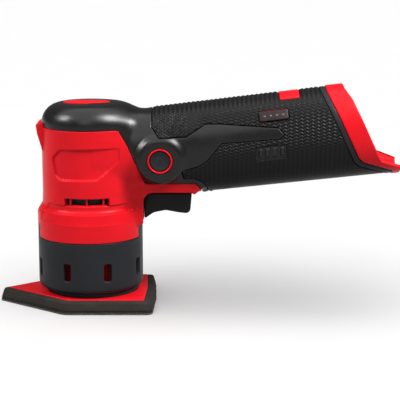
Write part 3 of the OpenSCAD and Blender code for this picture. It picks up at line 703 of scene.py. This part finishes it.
# The laminations are near black, far darker than bare steel: painted shade for the inside of the side vents,
# where they show.
laminations("lamination", (0.018, 0.018, 0.019))
metal("magnet", (0.45, 0.46, 0.48), 0.24, streak=2)
windings("copper_wire", (0.72, 0.30, 0.12))
metal("contact_metal", (0.78, 0.56, 0.24), 0.28)
metal("cast_alloy", (0.52, 0.53, 0.55), 0.5, grain=0.5, bump=0.02, streak=1)
rubber("wire_jacket", (0.02, 0.02, 0.02), 0.4, grain=0.6, bump=0.01)
rubber("wire_jacket_red", (0.45, 0.02, 0.02), 0.4, grain=0.6, bump=0.01)
rubber("leg_rubber", (0.02, 0.02, 0.02), 0.7)
foam("pad_foam", (0.0135, 0.0115, 0.0102))
hooks("hook_fabric", (0.013, 0.0115, 0.0108))
abrasive("abrasive", (0.034, 0.027, 0.023))


def piece(name, parts, slot, body, *nodes, angle=38):
    """A piece with its finish, standing for CAD nodes."""
    obj = mesh_object(name, parts, MATERIALS[slot], body, angle)
    if nodes:
        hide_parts(*nodes)
    return obj


# ---- Regions of the skin: positive inside ----
def ahead(edge, p):
    """How far a point is in front of one of the lines across the handle."""
    return outline([(-60, 40), (-60, 130)] + edge, p[:, 0], p[:, 2])


def red_zone(p):
    """Where the red plastic is bare."""
    return outline(BARE, p[:, 0], p[:, 2])


def smooth_zone(p):
    """Where the rubber is smooth."""
    return outline(SMOOTH, p[:, 0], p[:, 2])


def hole(p, x, z, r, side=0):
    """Positive outside a round hole through the side."""
    d = np.hypot(p[:, 0] - x, p[:, 2] - z) - r
    return np.where(p[:, 1] * side >= 0, d, 9) if side else np.where(np.abs(p[:, 1]) > 9, d, 9)


def bezel_gap(p):
    return hole(p, BUTTON_X, BUTTON_Z, BEZEL_R + 0.05)


def vent_gap(p):
    """Positive outside the vent in each side of the head."""
    x0, x1, z0, z1 = VENT
    u = np.abs(p[:, 0] - (x0 + x1) / 2) - (x1 - x0) / 2
    w = np.abs(p[:, 2] - (z0 + z1) / 2) - (z1 - z0) / 2
    return np.where(np.abs(p[:, 1]) > 12, np.maximum(u, w), 9)


def lug_gap(p):
    """Positive outside the gaps at the front and rear, where the skirt comes up."""
    angle = np.degrees(np.arctan2(np.abs(p[:, 1]), np.abs(p[:, 0]) + 1e-9))
    inside = np.minimum(LUG_TOP - p[:, 2], (20 - angle) * 0.52)
    return np.where(np.hypot(p[:, 0], p[:, 1]) < COLLAR_R + 1, -inside, 9)


def trigger_slot(p):
    """Positive outside the opening that the trigger slides through."""
    u = np.abs(p[:, 0] - TRIGGER_SLOT_X) - TRIGGER_SLOT_HALF[0]
    w = np.abs(p[:, 1]) - TRIGGER_SLOT_HALF[1]
    return np.where(p[:, 2] < 72, np.maximum(u, w), 9)


def gauge_axes():
    """The charge display's own directions: along the handle, out of its side, and up that side."""
    a, b = math.radians(6.3), math.radians(24)
    y = np.array([0, 1, 0])
    z = np.array([-math.sin(a), 0, math.cos(a)])
    along = np.array([math.cos(a), 0, math.sin(a)])
    return along, y * math.cos(b) - z * math.sin(b), y * math.sin(b) + z * math.cos(b)


GAUGE = (low("gauge_lens") + high("gauge_lens")) / 2
GAUGE_ALONG, GAUGE_OUT, GAUGE_UP = gauge_axes()


def gauge_gap(p):
    """Positive outside the charge display's opening."""
    u, w = np.abs((p - GAUGE) @ GAUGE_ALONG), np.abs((p - GAUGE) @ GAUGE_UP)
    corner = 0.9
    return np.where(p[:, 1] < -8, beyond(u - 7.3, w - 2.2) - corner, 9)


def badge_gap(p):
    """Positive outside the plate set in the top of the handle."""
    corner = 1.4
    u = np.abs(p[:, 0] - BADGE_X) - BADGE_HALF[0] + corner
    w = np.abs(p[:, 1]) - BADGE_HALF[1] + corner
    return np.where(p[:, 2] > 108, beyond(u, w) - corner, 9)


def cap_badge_gap(p):
    """Positive outside the oval set in the cap."""
    d = (np.hypot((p[:, 0] - CAP_BADGE_X) / CAP_BADGE_HALF[0], p[:, 1] / CAP_BADGE_HALF[1]) - 1) * 9.5
    return np.where(p[:, 2] > CROWN - 6, d, 9)


def screws_gap(p):
    """Positive outside the screw holes, which are on the right only."""
    return np.min([hole(p, x, z, SCREW_HOLE_R, side=1) for x, z in SCREWS], axis=0)


def sided(side, gap=SEAM):
    """Positive on one side of the middle."""
    return lambda p: side * p[:, 1] - gap


def smallest(*parts):
    """What several regions share."""
    return lambda p: np.min([f(p) for f in parts], axis=0)


# ---- The casing ----
def wave(x):
    """A soft-cornered square wave from 0 to 1."""
    return ease(np.abs((x % 1.0) - 0.5), 0.16, 0.30)


def inside_panel(v):
    """How far a point is inside the embossed panel on the handle's side."""
    x0, x1, z0, z1 = EMBOSS
    z = v[:, 2] - 0.11 * (v[:, 0] - (x0 + x1) / 2)
    inside = np.minimum(np.minimum(v[:, 0] - x0, x1 - v[:, 0]), np.minimum(z - z0, z1 - z))
    return np.where(np.abs(v[:, 1]) > 10, inside, -9)


def panel_relief(v):
    """A sunk panel with four plain raised bars."""
    inside = inside_panel(v)
    step = (EMBOSS[1] - EMBOSS[0]) / 4
    across = np.abs((v[:, 0] - EMBOSS[0]) % step - step / 2)
    return 0.75 * ease(np.minimum(inside - 1.2, 1.35 - across), 0, 0.35) - 0.85


def grip_relief(v):
    """Height of the grip's texture, in mm, at each skin row."""
    x, across = v[:, 0], v[:, 6]
    ribs = wave(x / 2.55)
    band = 1 - ease(across, 11, 15)
    p, q = x / 2.6 + across / 2.0, x / 2.6 - across / 2.0
    diamonds = np.minimum(wave(p), wave(q))
    front = (1 - ease(x, 52, 62)) * (1 - band)
    relief = band * 0.34 * ribs + front * 0.38 * diamonds
    relief *= ease(-inside_panel(v), 0.3, 0.9)
    relief *= ease(badge_gap(v[:, :3]), 0.2, 0.7)
    relief *= ease(gauge_gap(v[:, :3]), 0.3, 0.9)
    edge = np.minimum(np.abs(smooth_zone(v)), np.abs(ahead(GRIP_END, v)))
    return relief * ease(edge, 0.3, 1.0)


def make_skin():
    grid = skin_grid()
    flat = grid.reshape(-1, 4)
    t, n = facing(flat[:, :3], grid_triangles(*grid.shape[:2]), flat[:, :3] * [0, 1, 0])
    return np.concatenate([flat[:, :3], n, flat[:, 3:]], axis=1), t


SKIN = make_skin()


def inner_half_width(x, z):
    """Half the width of the handle's red wall at a point of the side view."""
    v = np.clip(np.abs(z - middle_line(x)) / (half_height(x) - WALL_DEPTH), 0, 1)
    return (half_width(x) - WALL_DEPTH) * (1 - v ** SQUARE) ** (1 / SQUARE)


def sleeve(side):
    """The housing's wall inside the handle, under the rubber, with the wall that carries the contacts."""
    xs = np.arange(58.6, 175, 2.0)
    turn = np.linspace(0, math.pi, 33)
    power = 2 / SQUARE
    rows = np.array([[(x, side * (half_width(x) - WALL_DEPTH) * abs(math.sin(k)) ** power,
                       middle_line(x) + (half_height(x) - WALL_DEPTH)
                       * math.copysign(abs(math.cos(k)) ** power, math.cos(k))) for k in turn] for x in xs])
    p = rows.reshape(-1, 3)
    t, n = facing(p, grid_triangles(len(xs), len(turn), wrap=False), p * [0, 1, 0])
    region = smallest(lambda q: ahead(COLLAR_END, q) - 2.0, screws_gap if side > 0 else sided(side, -1))
    v, t = patch((np.concatenate([p, n], 1), t), region, 0, 0)
    shape = rows[int(np.argmin(np.abs(xs - 97)))]
    middle = shape[:, 2].mean()
    ring = [[(x, y * 0.9, (z - middle) * 0.93 + middle) for _, y, z in shape] for x in (96.0, 98.4)]
    return [thicken(v, t, 2.3), loft(ring[::side])]


def screw_tubes():
    """The sleeve round each screw head, as tall as the wall over it."""
    parts = []
    turn = np.linspace(0, 2 * math.pi, 24)
    for x, z in SCREWS:
        wall = inner_half_width(x + SCREW_TUBE_R * np.cos(turn), z + SCREW_TUBE_R * np.sin(turn))
        top = float(wall.min()) - 0.1
        if top > SCREW_SEAT + 0.3:
            p, f = turned([(SCREW_HOLE_R, SCREW_SEAT), (SCREW_TUBE_R, SCREW_SEAT), (SCREW_TUBE_R, top),
                           (SCREW_HOLE_R, top)], 40, closed=True)
            parts.append((along_y(p, x, z), f))
    return parts


def vent_bars(side):
    """The three bars set back in the side vent."""
    parts = []
    for x in (-9.1, 0, 9.1):
        face = math.sqrt(26 ** 2 - x * x)
        section = [(x + u, face - v) for u, v in ((-0.5, 1.6), (0.5, 1.6), (0.5, 0.9), (-0.5, 0.9))]
        rings = [[(u, side * y, z) for u, y in section] for z in (VENT[2] - 0.8, VENT[3] + 0.8)]
        parts.append(loft(rings[::side]))
    return parts


def half_lip(side):
    """Half of the lip that stands up in front of the cap."""
    shape = np.array(corner_outline(LIP[::-1], [0.3, 0.5, 2, 0.7, 0.6, 0.6, 0.3, 0.3], 0, 5))
    middle = shape.mean(0)
    rings = []
    for y, grow in ((SEAM, 1), (7.9, 1), (8.5, 0.985), (8.85, 0.95), (9.0, 0.9)):
        rings.append([(x, side * y, z) for x, z in middle + (shape - middle) * grow])
    return loft(rings[::side])


def housings():
    for side, name in SIDES:
        keep = [sided(side), red_zone, lambda p: p[:, 2] - COLLAR_LOW - 0.1, lug_gap, trigger_slot, vent_gap]
        v, t = patch(SKIN, smallest(*keep), 0.08, 0.4)
        near_trigger = (np.abs(v[:, 1]) < 12) & (v[:, 2] < 67) & (v[:, 0] > 28)
        wall = np.where(near_trigger, 1.3, 2.2)
        parts = [thicken(v, t, wall), half_lip(side)] + vent_bars(side) + sleeve(side)
        if side > 0:
            parts += screw_tubes()
        piece(f"{name}_casing", parts, "red_plastic", "housing", f"{name}_housing")


def teeth(side):
    """Half of each low tooth under the front end of the grip."""
    parts = []
    for x, half in ((65.5, 1.5), (68.9, 1.0)):
        rings = []
        for y in (SEAM, 2, 4, 6, 8, 9.5, 10.8):
            drop = 0.45 * (1 - (y / 11.5) ** 4)
            bow = (1 - (y / float(half_width(x))) ** SQUARE) ** (1 / SQUARE)
            z0, z1 = (float(middle_line(q) - half_height(q) * bow) for q in (x - half, x + half))
            rings.append([(x - half, side * y, z0 + 0.8), (x - half, side * y, z0),
                          (x - half * 0.6, side * y, z0 - drop), (x + half * 0.6, side * y, z1 - drop),
                          (x + half, side * y, z1), (x + half, side * y, z1 + 0.8)])
        parts.append(loft(rings[::side]))
    return parts


def grooves(p):
    """The grooves between smooth and textured rubber and round the embossed panel."""
    return np.maximum(1.3 - np.abs(smooth_zone(p)), 1.3 - np.abs(inside_panel(p)))


def rubbers():
    """Smooth rubber, textured grip and embossed panel, one of each to a side."""
    ribbed = raised(SKIN, grip_relief(SKIN[0]))
    barred = raised(SKIN, panel_relief(SKIN[0]))
    for side, name in SIDES:
        shared = [sided(side, SEAM / 2), lambda p: -red_zone(p)]
        if side > 0:
            shared.append(screws_gap)
        v, t = patch(SKIN, smallest(*shared, smooth_zone, cap_badge_gap, bezel_gap), 0.12, 0.55)
        piece(f"{name}_smooth_rubber", [thicken(v, t, 1.7)], "smooth_rubber", "housing", f"{name}_overmold")
        shared.append(lambda p: ahead(GRIP_END, p))
        textured = shared + [lambda p: -smooth_zone(p), badge_gap, lambda p: -inside_panel(p)]
        if side < 0:
            textured.append(gauge_gap)
        v, t = patch(ribbed, smallest(*textured), 0.12, 0.55)
        web = patch(raised(SKIN, -WEB_DEPTH), smallest(*shared, grooves, lambda p: p[:, 0] - 54), 0, 0)
        piece(f"{name}_textured_grip", [thicken(v, t, 1.6), thicken(*web, WEB)] + teeth(side), "grip_rubber",
              "housing", f"{name}_grip")
        v, t = patch(barred, smallest(sided(side), inside_panel), 0.02, 0)
        piece(f"{name}_grip_panel", [thicken(v, t, 0.6)], "smooth_rubber", "housing")


def receiver():
    """The dark ring, with a thin flange that reaches under the grip, and the red collar."""
    ring = smallest(lambda p: -ahead(GRIP_END, p), lambda p: ahead(RING_END, p))
    v, t = patch(raised(SKIN, 0.2), ring, 0.1, 0.7)
    under = smallest(lambda p: 1.6 - ahead(GRIP_END, p), lambda p: ahead(RING_END, p))
    flange = patch(raised(SKIN, -WEB_DEPTH), under, 0.1, 0)
    parts = [thicken(v, t, 2.0), thicken(*flange, WEB)]
    piece("receiver_seal", parts, "dark_plastic", "housing", "receiver_ring")
    collar = smallest(lambda p: -ahead(RING_END, p), lambda p: ahead(COLLAR_END, p))
    v, t = patch(raised(SKIN, 0.6), collar, 0.1, 0.8)
    near_edge = 1 - ease(ahead(COLLAR_END, v), 0.6, 5)
    wall = 4.4 - 3.2 * near_edge * ease(v[:, 0], 155, 161)
    piece("receiver_mouth", [thicken(v, t, wall)], "red_plastic", "housing", "receiver_collar")


def badges():
    """The plate on the handle and the oval on the cap."""
    v, t = patch(raised(SKIN, 0.15), lambda p: -badge_gap(p) - 0.15, 0.05, 0.5)
    piece("handle_plate", [thicken(v, t, 1.4)], "red_plastic", "housing", "handle_badge")
    a, b = CAP_BADGE_HALF
    turn = np.linspace(0, 2 * math.pi, 96, endpoint=False)
    dome = ((0.97, -1.2), (0.975, -0.25), (0.965, 0.02), (0.93, 0.16), (0.8, 0.24), (0.5, 0.33), (0.2, 0.36))
    rings = [[(CAP_BADGE_X + a * scale * math.cos(k), b * scale * math.sin(k), CROWN - 0.05 + z)
              for k in turn] for scale, z in dome]
    piece("cap_plate", [loft(rings)], "red_plastic", "housing", "cap_badge")


# ---- The skirt ----
def skirt_region(p):
    """The skirt's wall: its two tongues, and eight upright slots with round ends."""
    angle = np.degrees(np.arctan2(p[:, 1], p[:, 0]))
    from_x = np.degrees(np.arctan2(np.abs(p[:, 1]), np.abs(p[:, 0]) + 1e-9))
    tongue = np.minimum(LUG_TOP - 0.1 - p[:, 2], (19.6 - from_x) * 0.52)
    across = ((angle % 45) - 22.5) * math.pi / 180 * SKIRT_R
    middle, corner = 22.3, 1.2
    slot = beyond(np.abs(across) - 1.0, np.abs(p[:, 2] - middle) - 3.8) - corner
    return np.min([p[:, 2] - SKIRT_LOW, np.maximum(COLLAR_LOW - 0.1 - p[:, 2], tongue), slot], axis=0)


def skirt():
    """The shroud's shell, turned in at its foot."""
    bend = [SKIRT_LOW, 11.3, 11.8, 12.4, 13.2]
    levels = np.concatenate([bend, np.arange(14, LUG_TOP + 0.4, 0.5)])
    turn = np.linspace(0, 2 * math.pi, 360, endpoint=False)
    radius = np.interp(levels, bend + [14], SKIRT_R - np.array([1.1, 0.55, 0.28, 0.1, 0.02, 0]))
    p = np.array([(r * math.cos(a), r * math.sin(a), z) for r, z in zip(radius, levels) for a in turn])
    t, _ = facing(p, grid_triangles(len(levels), len(turn)), p * [1, 1, 0])
    level_normals = p * [1, 1, 0] / np.linalg.norm(p[:, :2], axis=1, keepdims=True)
    v, t = patch((np.concatenate([p, level_normals], 1), t), skirt_region, 0.03, 0.4, 0.3)
    piece("skirt_shell", [thicken(v, t, 2.1)], "dark_plastic", "housing", "skirt")


# ---- Controls ----
def trigger():
    inside = 64
    corners = [(31.1, inside), (31.1, 49.1), (36.2, 52.8), (43.2, 54.2), (50, 52.9), (56.9, 52.1),
               (57.9, inside)]
    shape = corner_outline(corners, [0.3, 0.7, 7, 7, 7, 2.8, 0.3], 0, 7)
    out = outward(shape)
    edge = [(8.8, 0.62), (8.74, 0.42), (8.55, 0.2), (8.2, 0.05), (7.6, 0.0)]
    rings = []
    for y, inset in [(-y, inset) for y, inset in edge] + edge[::-1]:
        q = shape - out * inset
        rings.append([(x, y, min(z, inside)) for x, z in q])
    top = high("trigger")[2]
    flange = loft([[(34, y, 63.4), (57, y, 63.4), (57, y, top), (34, y, top)] for y in (7.6, -7.6)])
    piece("trigger_blade", [loft(rings[::-1]), flange], "black_plastic", "trigger", "trigger")


def button():
    y0, y1 = low("lock_button")[1], high("lock_button")[1]
    end = [(0, 0.55), (2.2, 0.5), (3.6, 0.35), (4.6, 0.1), (5.0, 0), (5.35, 0.1), (BUTTON_R - 0.03, 0.5),
           (BUTTON_R, 1), (BUTTON_R, 8), (3.4, 8)]
    p, f = turned([(r, y0 + h) for r, h in end] + [(r, y1 - h) for r, h in end[::-1]], 72)
    piece("lock_bolt", [(along_y(p, BUTTON_X, BUTTON_Z), f)], "dark_plastic", "lock_button", "lock_button",
          angle=45)
    ring = [(BUTTON_R + 0.3, -5), (BUTTON_R + 0.3, -0.1), (BUTTON_R + 0.42, 0.2), (BUTTON_R + 0.65, 0.3),
            (BEZEL_R - 0.3, 0.3), (BEZEL_R - 0.1, 0.2), (BEZEL_R, -0.1), (BEZEL_R, -5)]
    for side, name in SIDES:
        profile = [(r, side * (BOSS_Y + h)) for r, h in ring]
        p, f = turned(profile[::side], 72, closed=True)
        piece(f"{name}_bezel_ring", [(along_y(p, BUTTON_X, BUTTON_Z), f)], "red_plastic", "housing",
              f"{name}_button_bezel", angle=45)


def on_gauge(points):
    """Points along, out of and up the charge display, in the tool's own frame."""
    points = np.asarray(points, float)
    return GAUGE + points[:, :1] * GAUGE_ALONG + points[:, 1:2] * GAUGE_OUT + points[:, 2:] * GAUGE_UP


def gauge_plate(low_corner, high_corner, radius, layers, steps=6):
    """A flat plate with round corners; each layer is a depth and an inset."""
    (u0, w0), (u1, w1) = low_corner, high_corner
    corners = [(u0, w0), (u1, w0), (u1, w1), (u0, w1)]
    rings = [[(u, depth, w) for u, w in corner_outline(corners, [radius] * 4, inset, steps)]
             for depth, inset in layers]
    p, f = loft(rings[::-1])
    return on_gauge(p), f


def gauge():
    bed = gauge_plate((-8.8, -3.7), (8.8, 3.7), 1.2, [(1.2, 0), (0.95, 0)])
    piece("gauge_bed", [bed], "dark_plastic", "housing")
    lens = gauge_plate((-7.95, -2.85), (7.95, 2.85), 0.9, [(0.65, 0), (-0.35, 0), (-0.6, 0.12), (-0.7, 0.35)])
    piece("gauge_window", [lens], "gauge_window", "housing", "gauge_lens")
    dots = []
    for u in (-5.1, -1.7, 1.7, 5.1):
        p, f = turned([(0.62, 0.0), (0.62, 0.06), (0.5, 0.12), (0, 0.13)], 20)
        dots.append((on_gauge(np.stack([p[:, 0] + u, -0.66 - p[:, 2], p[:, 1] - 0.2], 1)), f))
    mesh_object("gauge_dots", dots, MATERIALS["gauge_dot"], "housing")
    rim = gauge_plate((-7.6, 2.9), (7.6, 3.2), 0.12, [(-0.5, 0), (0.2, 0)], 4)
    piece("gauge_rim", [rim], "red_plastic", "housing")


# ---- The pad ----
def pad_ring(inset, z):
    """The pad's outline, iron-shaped, moved inwards."""
    (nose, _, _), (heel, half, _) = low("sanding_sheet"), high("sanding_sheet")
    shoulder, heel_corner = nose + 38.6, heel - 1.2
    corners = [(nose, -2.7), (shoulder, -half), (heel_corner, -half), (heel, 0), (heel_corner, half),
               (shoulder, half), (nose, 2.7)]
    return [(x, y, z) for x, y in corner_outline(corners, [1.2, 9, 4, 60, 4, 9, 1.2], inset, 12)]


def ragged(layers, amount, seed, spacing=0.45):
    """The pad's outline lofted through (inset, height, share) layers, its edge wandering a little."""
    rng = np.random.default_rng(seed)
    ring = pad_ring(0, 0)
    path = np.array(ring + ring[:1], float)
    length = distances(path)[-1]
    base = points_at(path, np.linspace(0, length, int(length / spacing), endpoint=False))
    out = outward(base)
    rings = []
    for inset, z, share in layers:
        q = base.copy()
        q[:, :2] -= out * (inset + rng.normal(0, amount * share, len(base)))[:, None]
        q[:, 2] = z
        rings.append(q)
    return loft(rings)


def pad():
    sheet_top, hook_top = high("sanding_sheet")[2], high("hook_layer")[2]
    foam_top, flat = high("pad_foam")[2], high("pad_plate")[2]
    layers = [(0.5, 0, 0.2), (0.1, 0.05, 1), (0.0, 0.35, 1), (0.05, 0.7, 1), (0.35, sheet_top, 0.5)]
    piece("abrasive_sheet", [ragged(layers, 0.10, 3)], "abrasive", "pad", "sanding_sheet")
    layers = [(0.6, sheet_top, 0.2), (0.3, sheet_top + 0.15, 1), (0.2, sheet_top + 0.5, 1),
              (0.3, hook_top - 0.15, 1), (0.6, hook_top, 0.2)]
    piece("hook_backing", [ragged(layers, 0.13, 4)], "hook_fabric", "pad", "hook_layer")
    layers = [(0.6, hook_top), (0.25, hook_top + 0.25), (0.3, hook_top + 0.8), (0.75, 4.0), (1.3, 5.8),
              (1.5, 6.25), (1.8, 6.52), (2.3, 6.68), (3.2, 6.82), (4.5, foam_top - 0.05),
              (4.85, foam_top - 0.1), (4.95, foam_top - 0.6), (4.95, 5.2)]
    cushion = loft([pad_ring(inset, z) for inset, z in layers])
    piece("foam_pad", [cushion], "pad_foam", "pad", "pad_foam", angle=50)
    layers = [(5.0, 5.2), (5.0, flat - 0.45), (5.08, flat - 0.2), (5.3, flat - 0.04), (5.6, flat)]
    plate = loft([pad_ring(inset, z) for inset, z in layers])
    piece("pad_face_plate", [plate], "red_plastic", "pad", "pad_plate")
    # A thin dark ring over the hub below the skirt: painted shadow of the gap under the skirt's foot.
    middle = (low("pad_hub") + high("pad_hub")) / 2
    top = SKIRT_LOW - 0.8
    p, f = turned([(26.05, flat + 0.05), (26.3, flat + 0.05), (26.35, flat + 0.15), (26.35, top - 0.15),
                   (26.25, top), (26.05, top)], 96, closed=True)
    piece("hub_shadow_band", [(p + [middle[0], middle[1], 0], f)], "dark_plastic", "pad")


# ---- Carried-over CAD nodes ----
SLOT_NODES = {
    "black_plastic": ("terminal_block", "switch_module", "fan"),
    "black_steel": ("clamshell_screws", "counterweight", "spindle_screw"),
    "bright_steel": ("trigger_spring", "frame_screws", "upper_bearing", "lower_bearing", "motor_shaft",
                     "pad_bearing", "pad_screws"),
    "cast_alloy": ("heat_sink", "motor_frame"),
    "circuit_board": ("gauge_board", "control_board", "hall_board"),
    "contact_metal": ("battery_contacts",),
    "copper_wire": ("stator_coils",),
    "lamination": ("stator_core", "rotor_core"),
    "leg_rubber": ("pad_legs",),
    "magnet": ("rotor_magnets",),
    "red_plastic": ("pad_hub",),
    "wire_jacket": ("motor_leads",),
    "wire_jacket_red": ("battery_leads",),
}


def repaint():
    """Every CAD node left showing gets its finish."""
    for slot, names in SLOT_NODES.items():
        for name in names:
            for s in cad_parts[name].material_slots:
                s.material = MATERIALS[slot]


# ---- Stage ----
def floor():
    mesh = bpy.data.meshes.new("floor")
    half = 14.0
    corners = [(x * half, y * half, 0) for x, y in ((-1, -1), (1, -1), (1, 1), (-1, 1))]
    mesh.from_pydata(corners, [], [(0, 1, 2, 3)])
    n = Nodes("floor")
    base = n.mix(n.noise(40, 2), (0.90, 0.90, 0.90), (0.92, 0.92, 0.92))
    n.finish(base, n.spread(n.noise(60, 2), 0.3, 0.7, 0.75, 0.85), n.noise(5), 0.01, 0.1)
    mesh.materials.append(n.material)
    obj = add_object("floor", mesh)
    return obj


def softbox(name, place, aim, width, height, power, not_lit):
    light = bpy.data.lights.new(name, "AREA")
    light.shape = "RECTANGLE"
    light.size, light.size_y = width, height
    light.energy = power
    obj = add_object(name, light)
    obj.location = place
    obj.rotation_euler = (Vector(aim) - Vector(place)).to_track_quat("-Z", "Y").to_euler()
    obj.light_linking.receiver_collection = not_lit


def lights(ground):
    """A wide soft sky, and softboxes whose light stays off the floor."""
    aim = (0.03, 0, 0.08)
    off = bpy.data.collections.new("not_lit_by_softboxes")
    off.objects.link(ground)
    off.collection_objects[0].light_linking.link_state = "EXCLUDE"
    sun = bpy.data.lights.new("sky", "SUN")
    sun.energy = 3.3
    sun.angle = math.radians(90)
    add_object("sky", sun).rotation_euler = (math.radians(12), 0, 0)
    softbox("right_box", (0.48, -0.26, 0.62), aim, 0.28, 0.28, 12.5, off)
    softbox("left_box", (-0.50, -0.18, 0.50), aim, 0.20, 0.20, 4.6, off)
    softbox("front_box", (-0.10, -0.95, 0.55), aim, 0.45, 0.35, 1.5, off)
    world = bpy.data.worlds.new("world")
    world.use_nodes = True
    background = world.node_tree.nodes["Background"]
    background.inputs["Color"].default_value = (1, 1, 1, 1)
    background.inputs["Strength"].default_value = 0.12
    bpy.context.scene.world = world
    bpy.context.scene.view_settings.view_transform = "Standard"


def camera():
    data = bpy.data.cameras.new("camera")
    data.sensor_width = 36
    data.lens = 126.5
    data.clip_start = 0.01
    obj = add_object("camera", data)
    lowest, highest = np.array(cad_bounds[0]), np.array(cad_bounds[1])
    target = Vector(((lowest[0] + highest[0]) / 2 + 0.0009, 0, (lowest[2] + highest[2]) / 2 - 0.0041))
    rise = math.radians(11.3)
    distance = 0.8
    obj.location = target + Vector((0, -distance * math.cos(rise), distance * math.sin(rise)))
    obj.rotation_euler = (target - obj.location).to_track_quat("-Z", "Y").to_euler()
    bpy.context.scene.camera = obj


camera()
lights(floor())
housings()
rubbers()
receiver()
badges()
skirt()
trigger()
button()
gauge()
pad()
repaint()

bpy.context.view_layer.update()
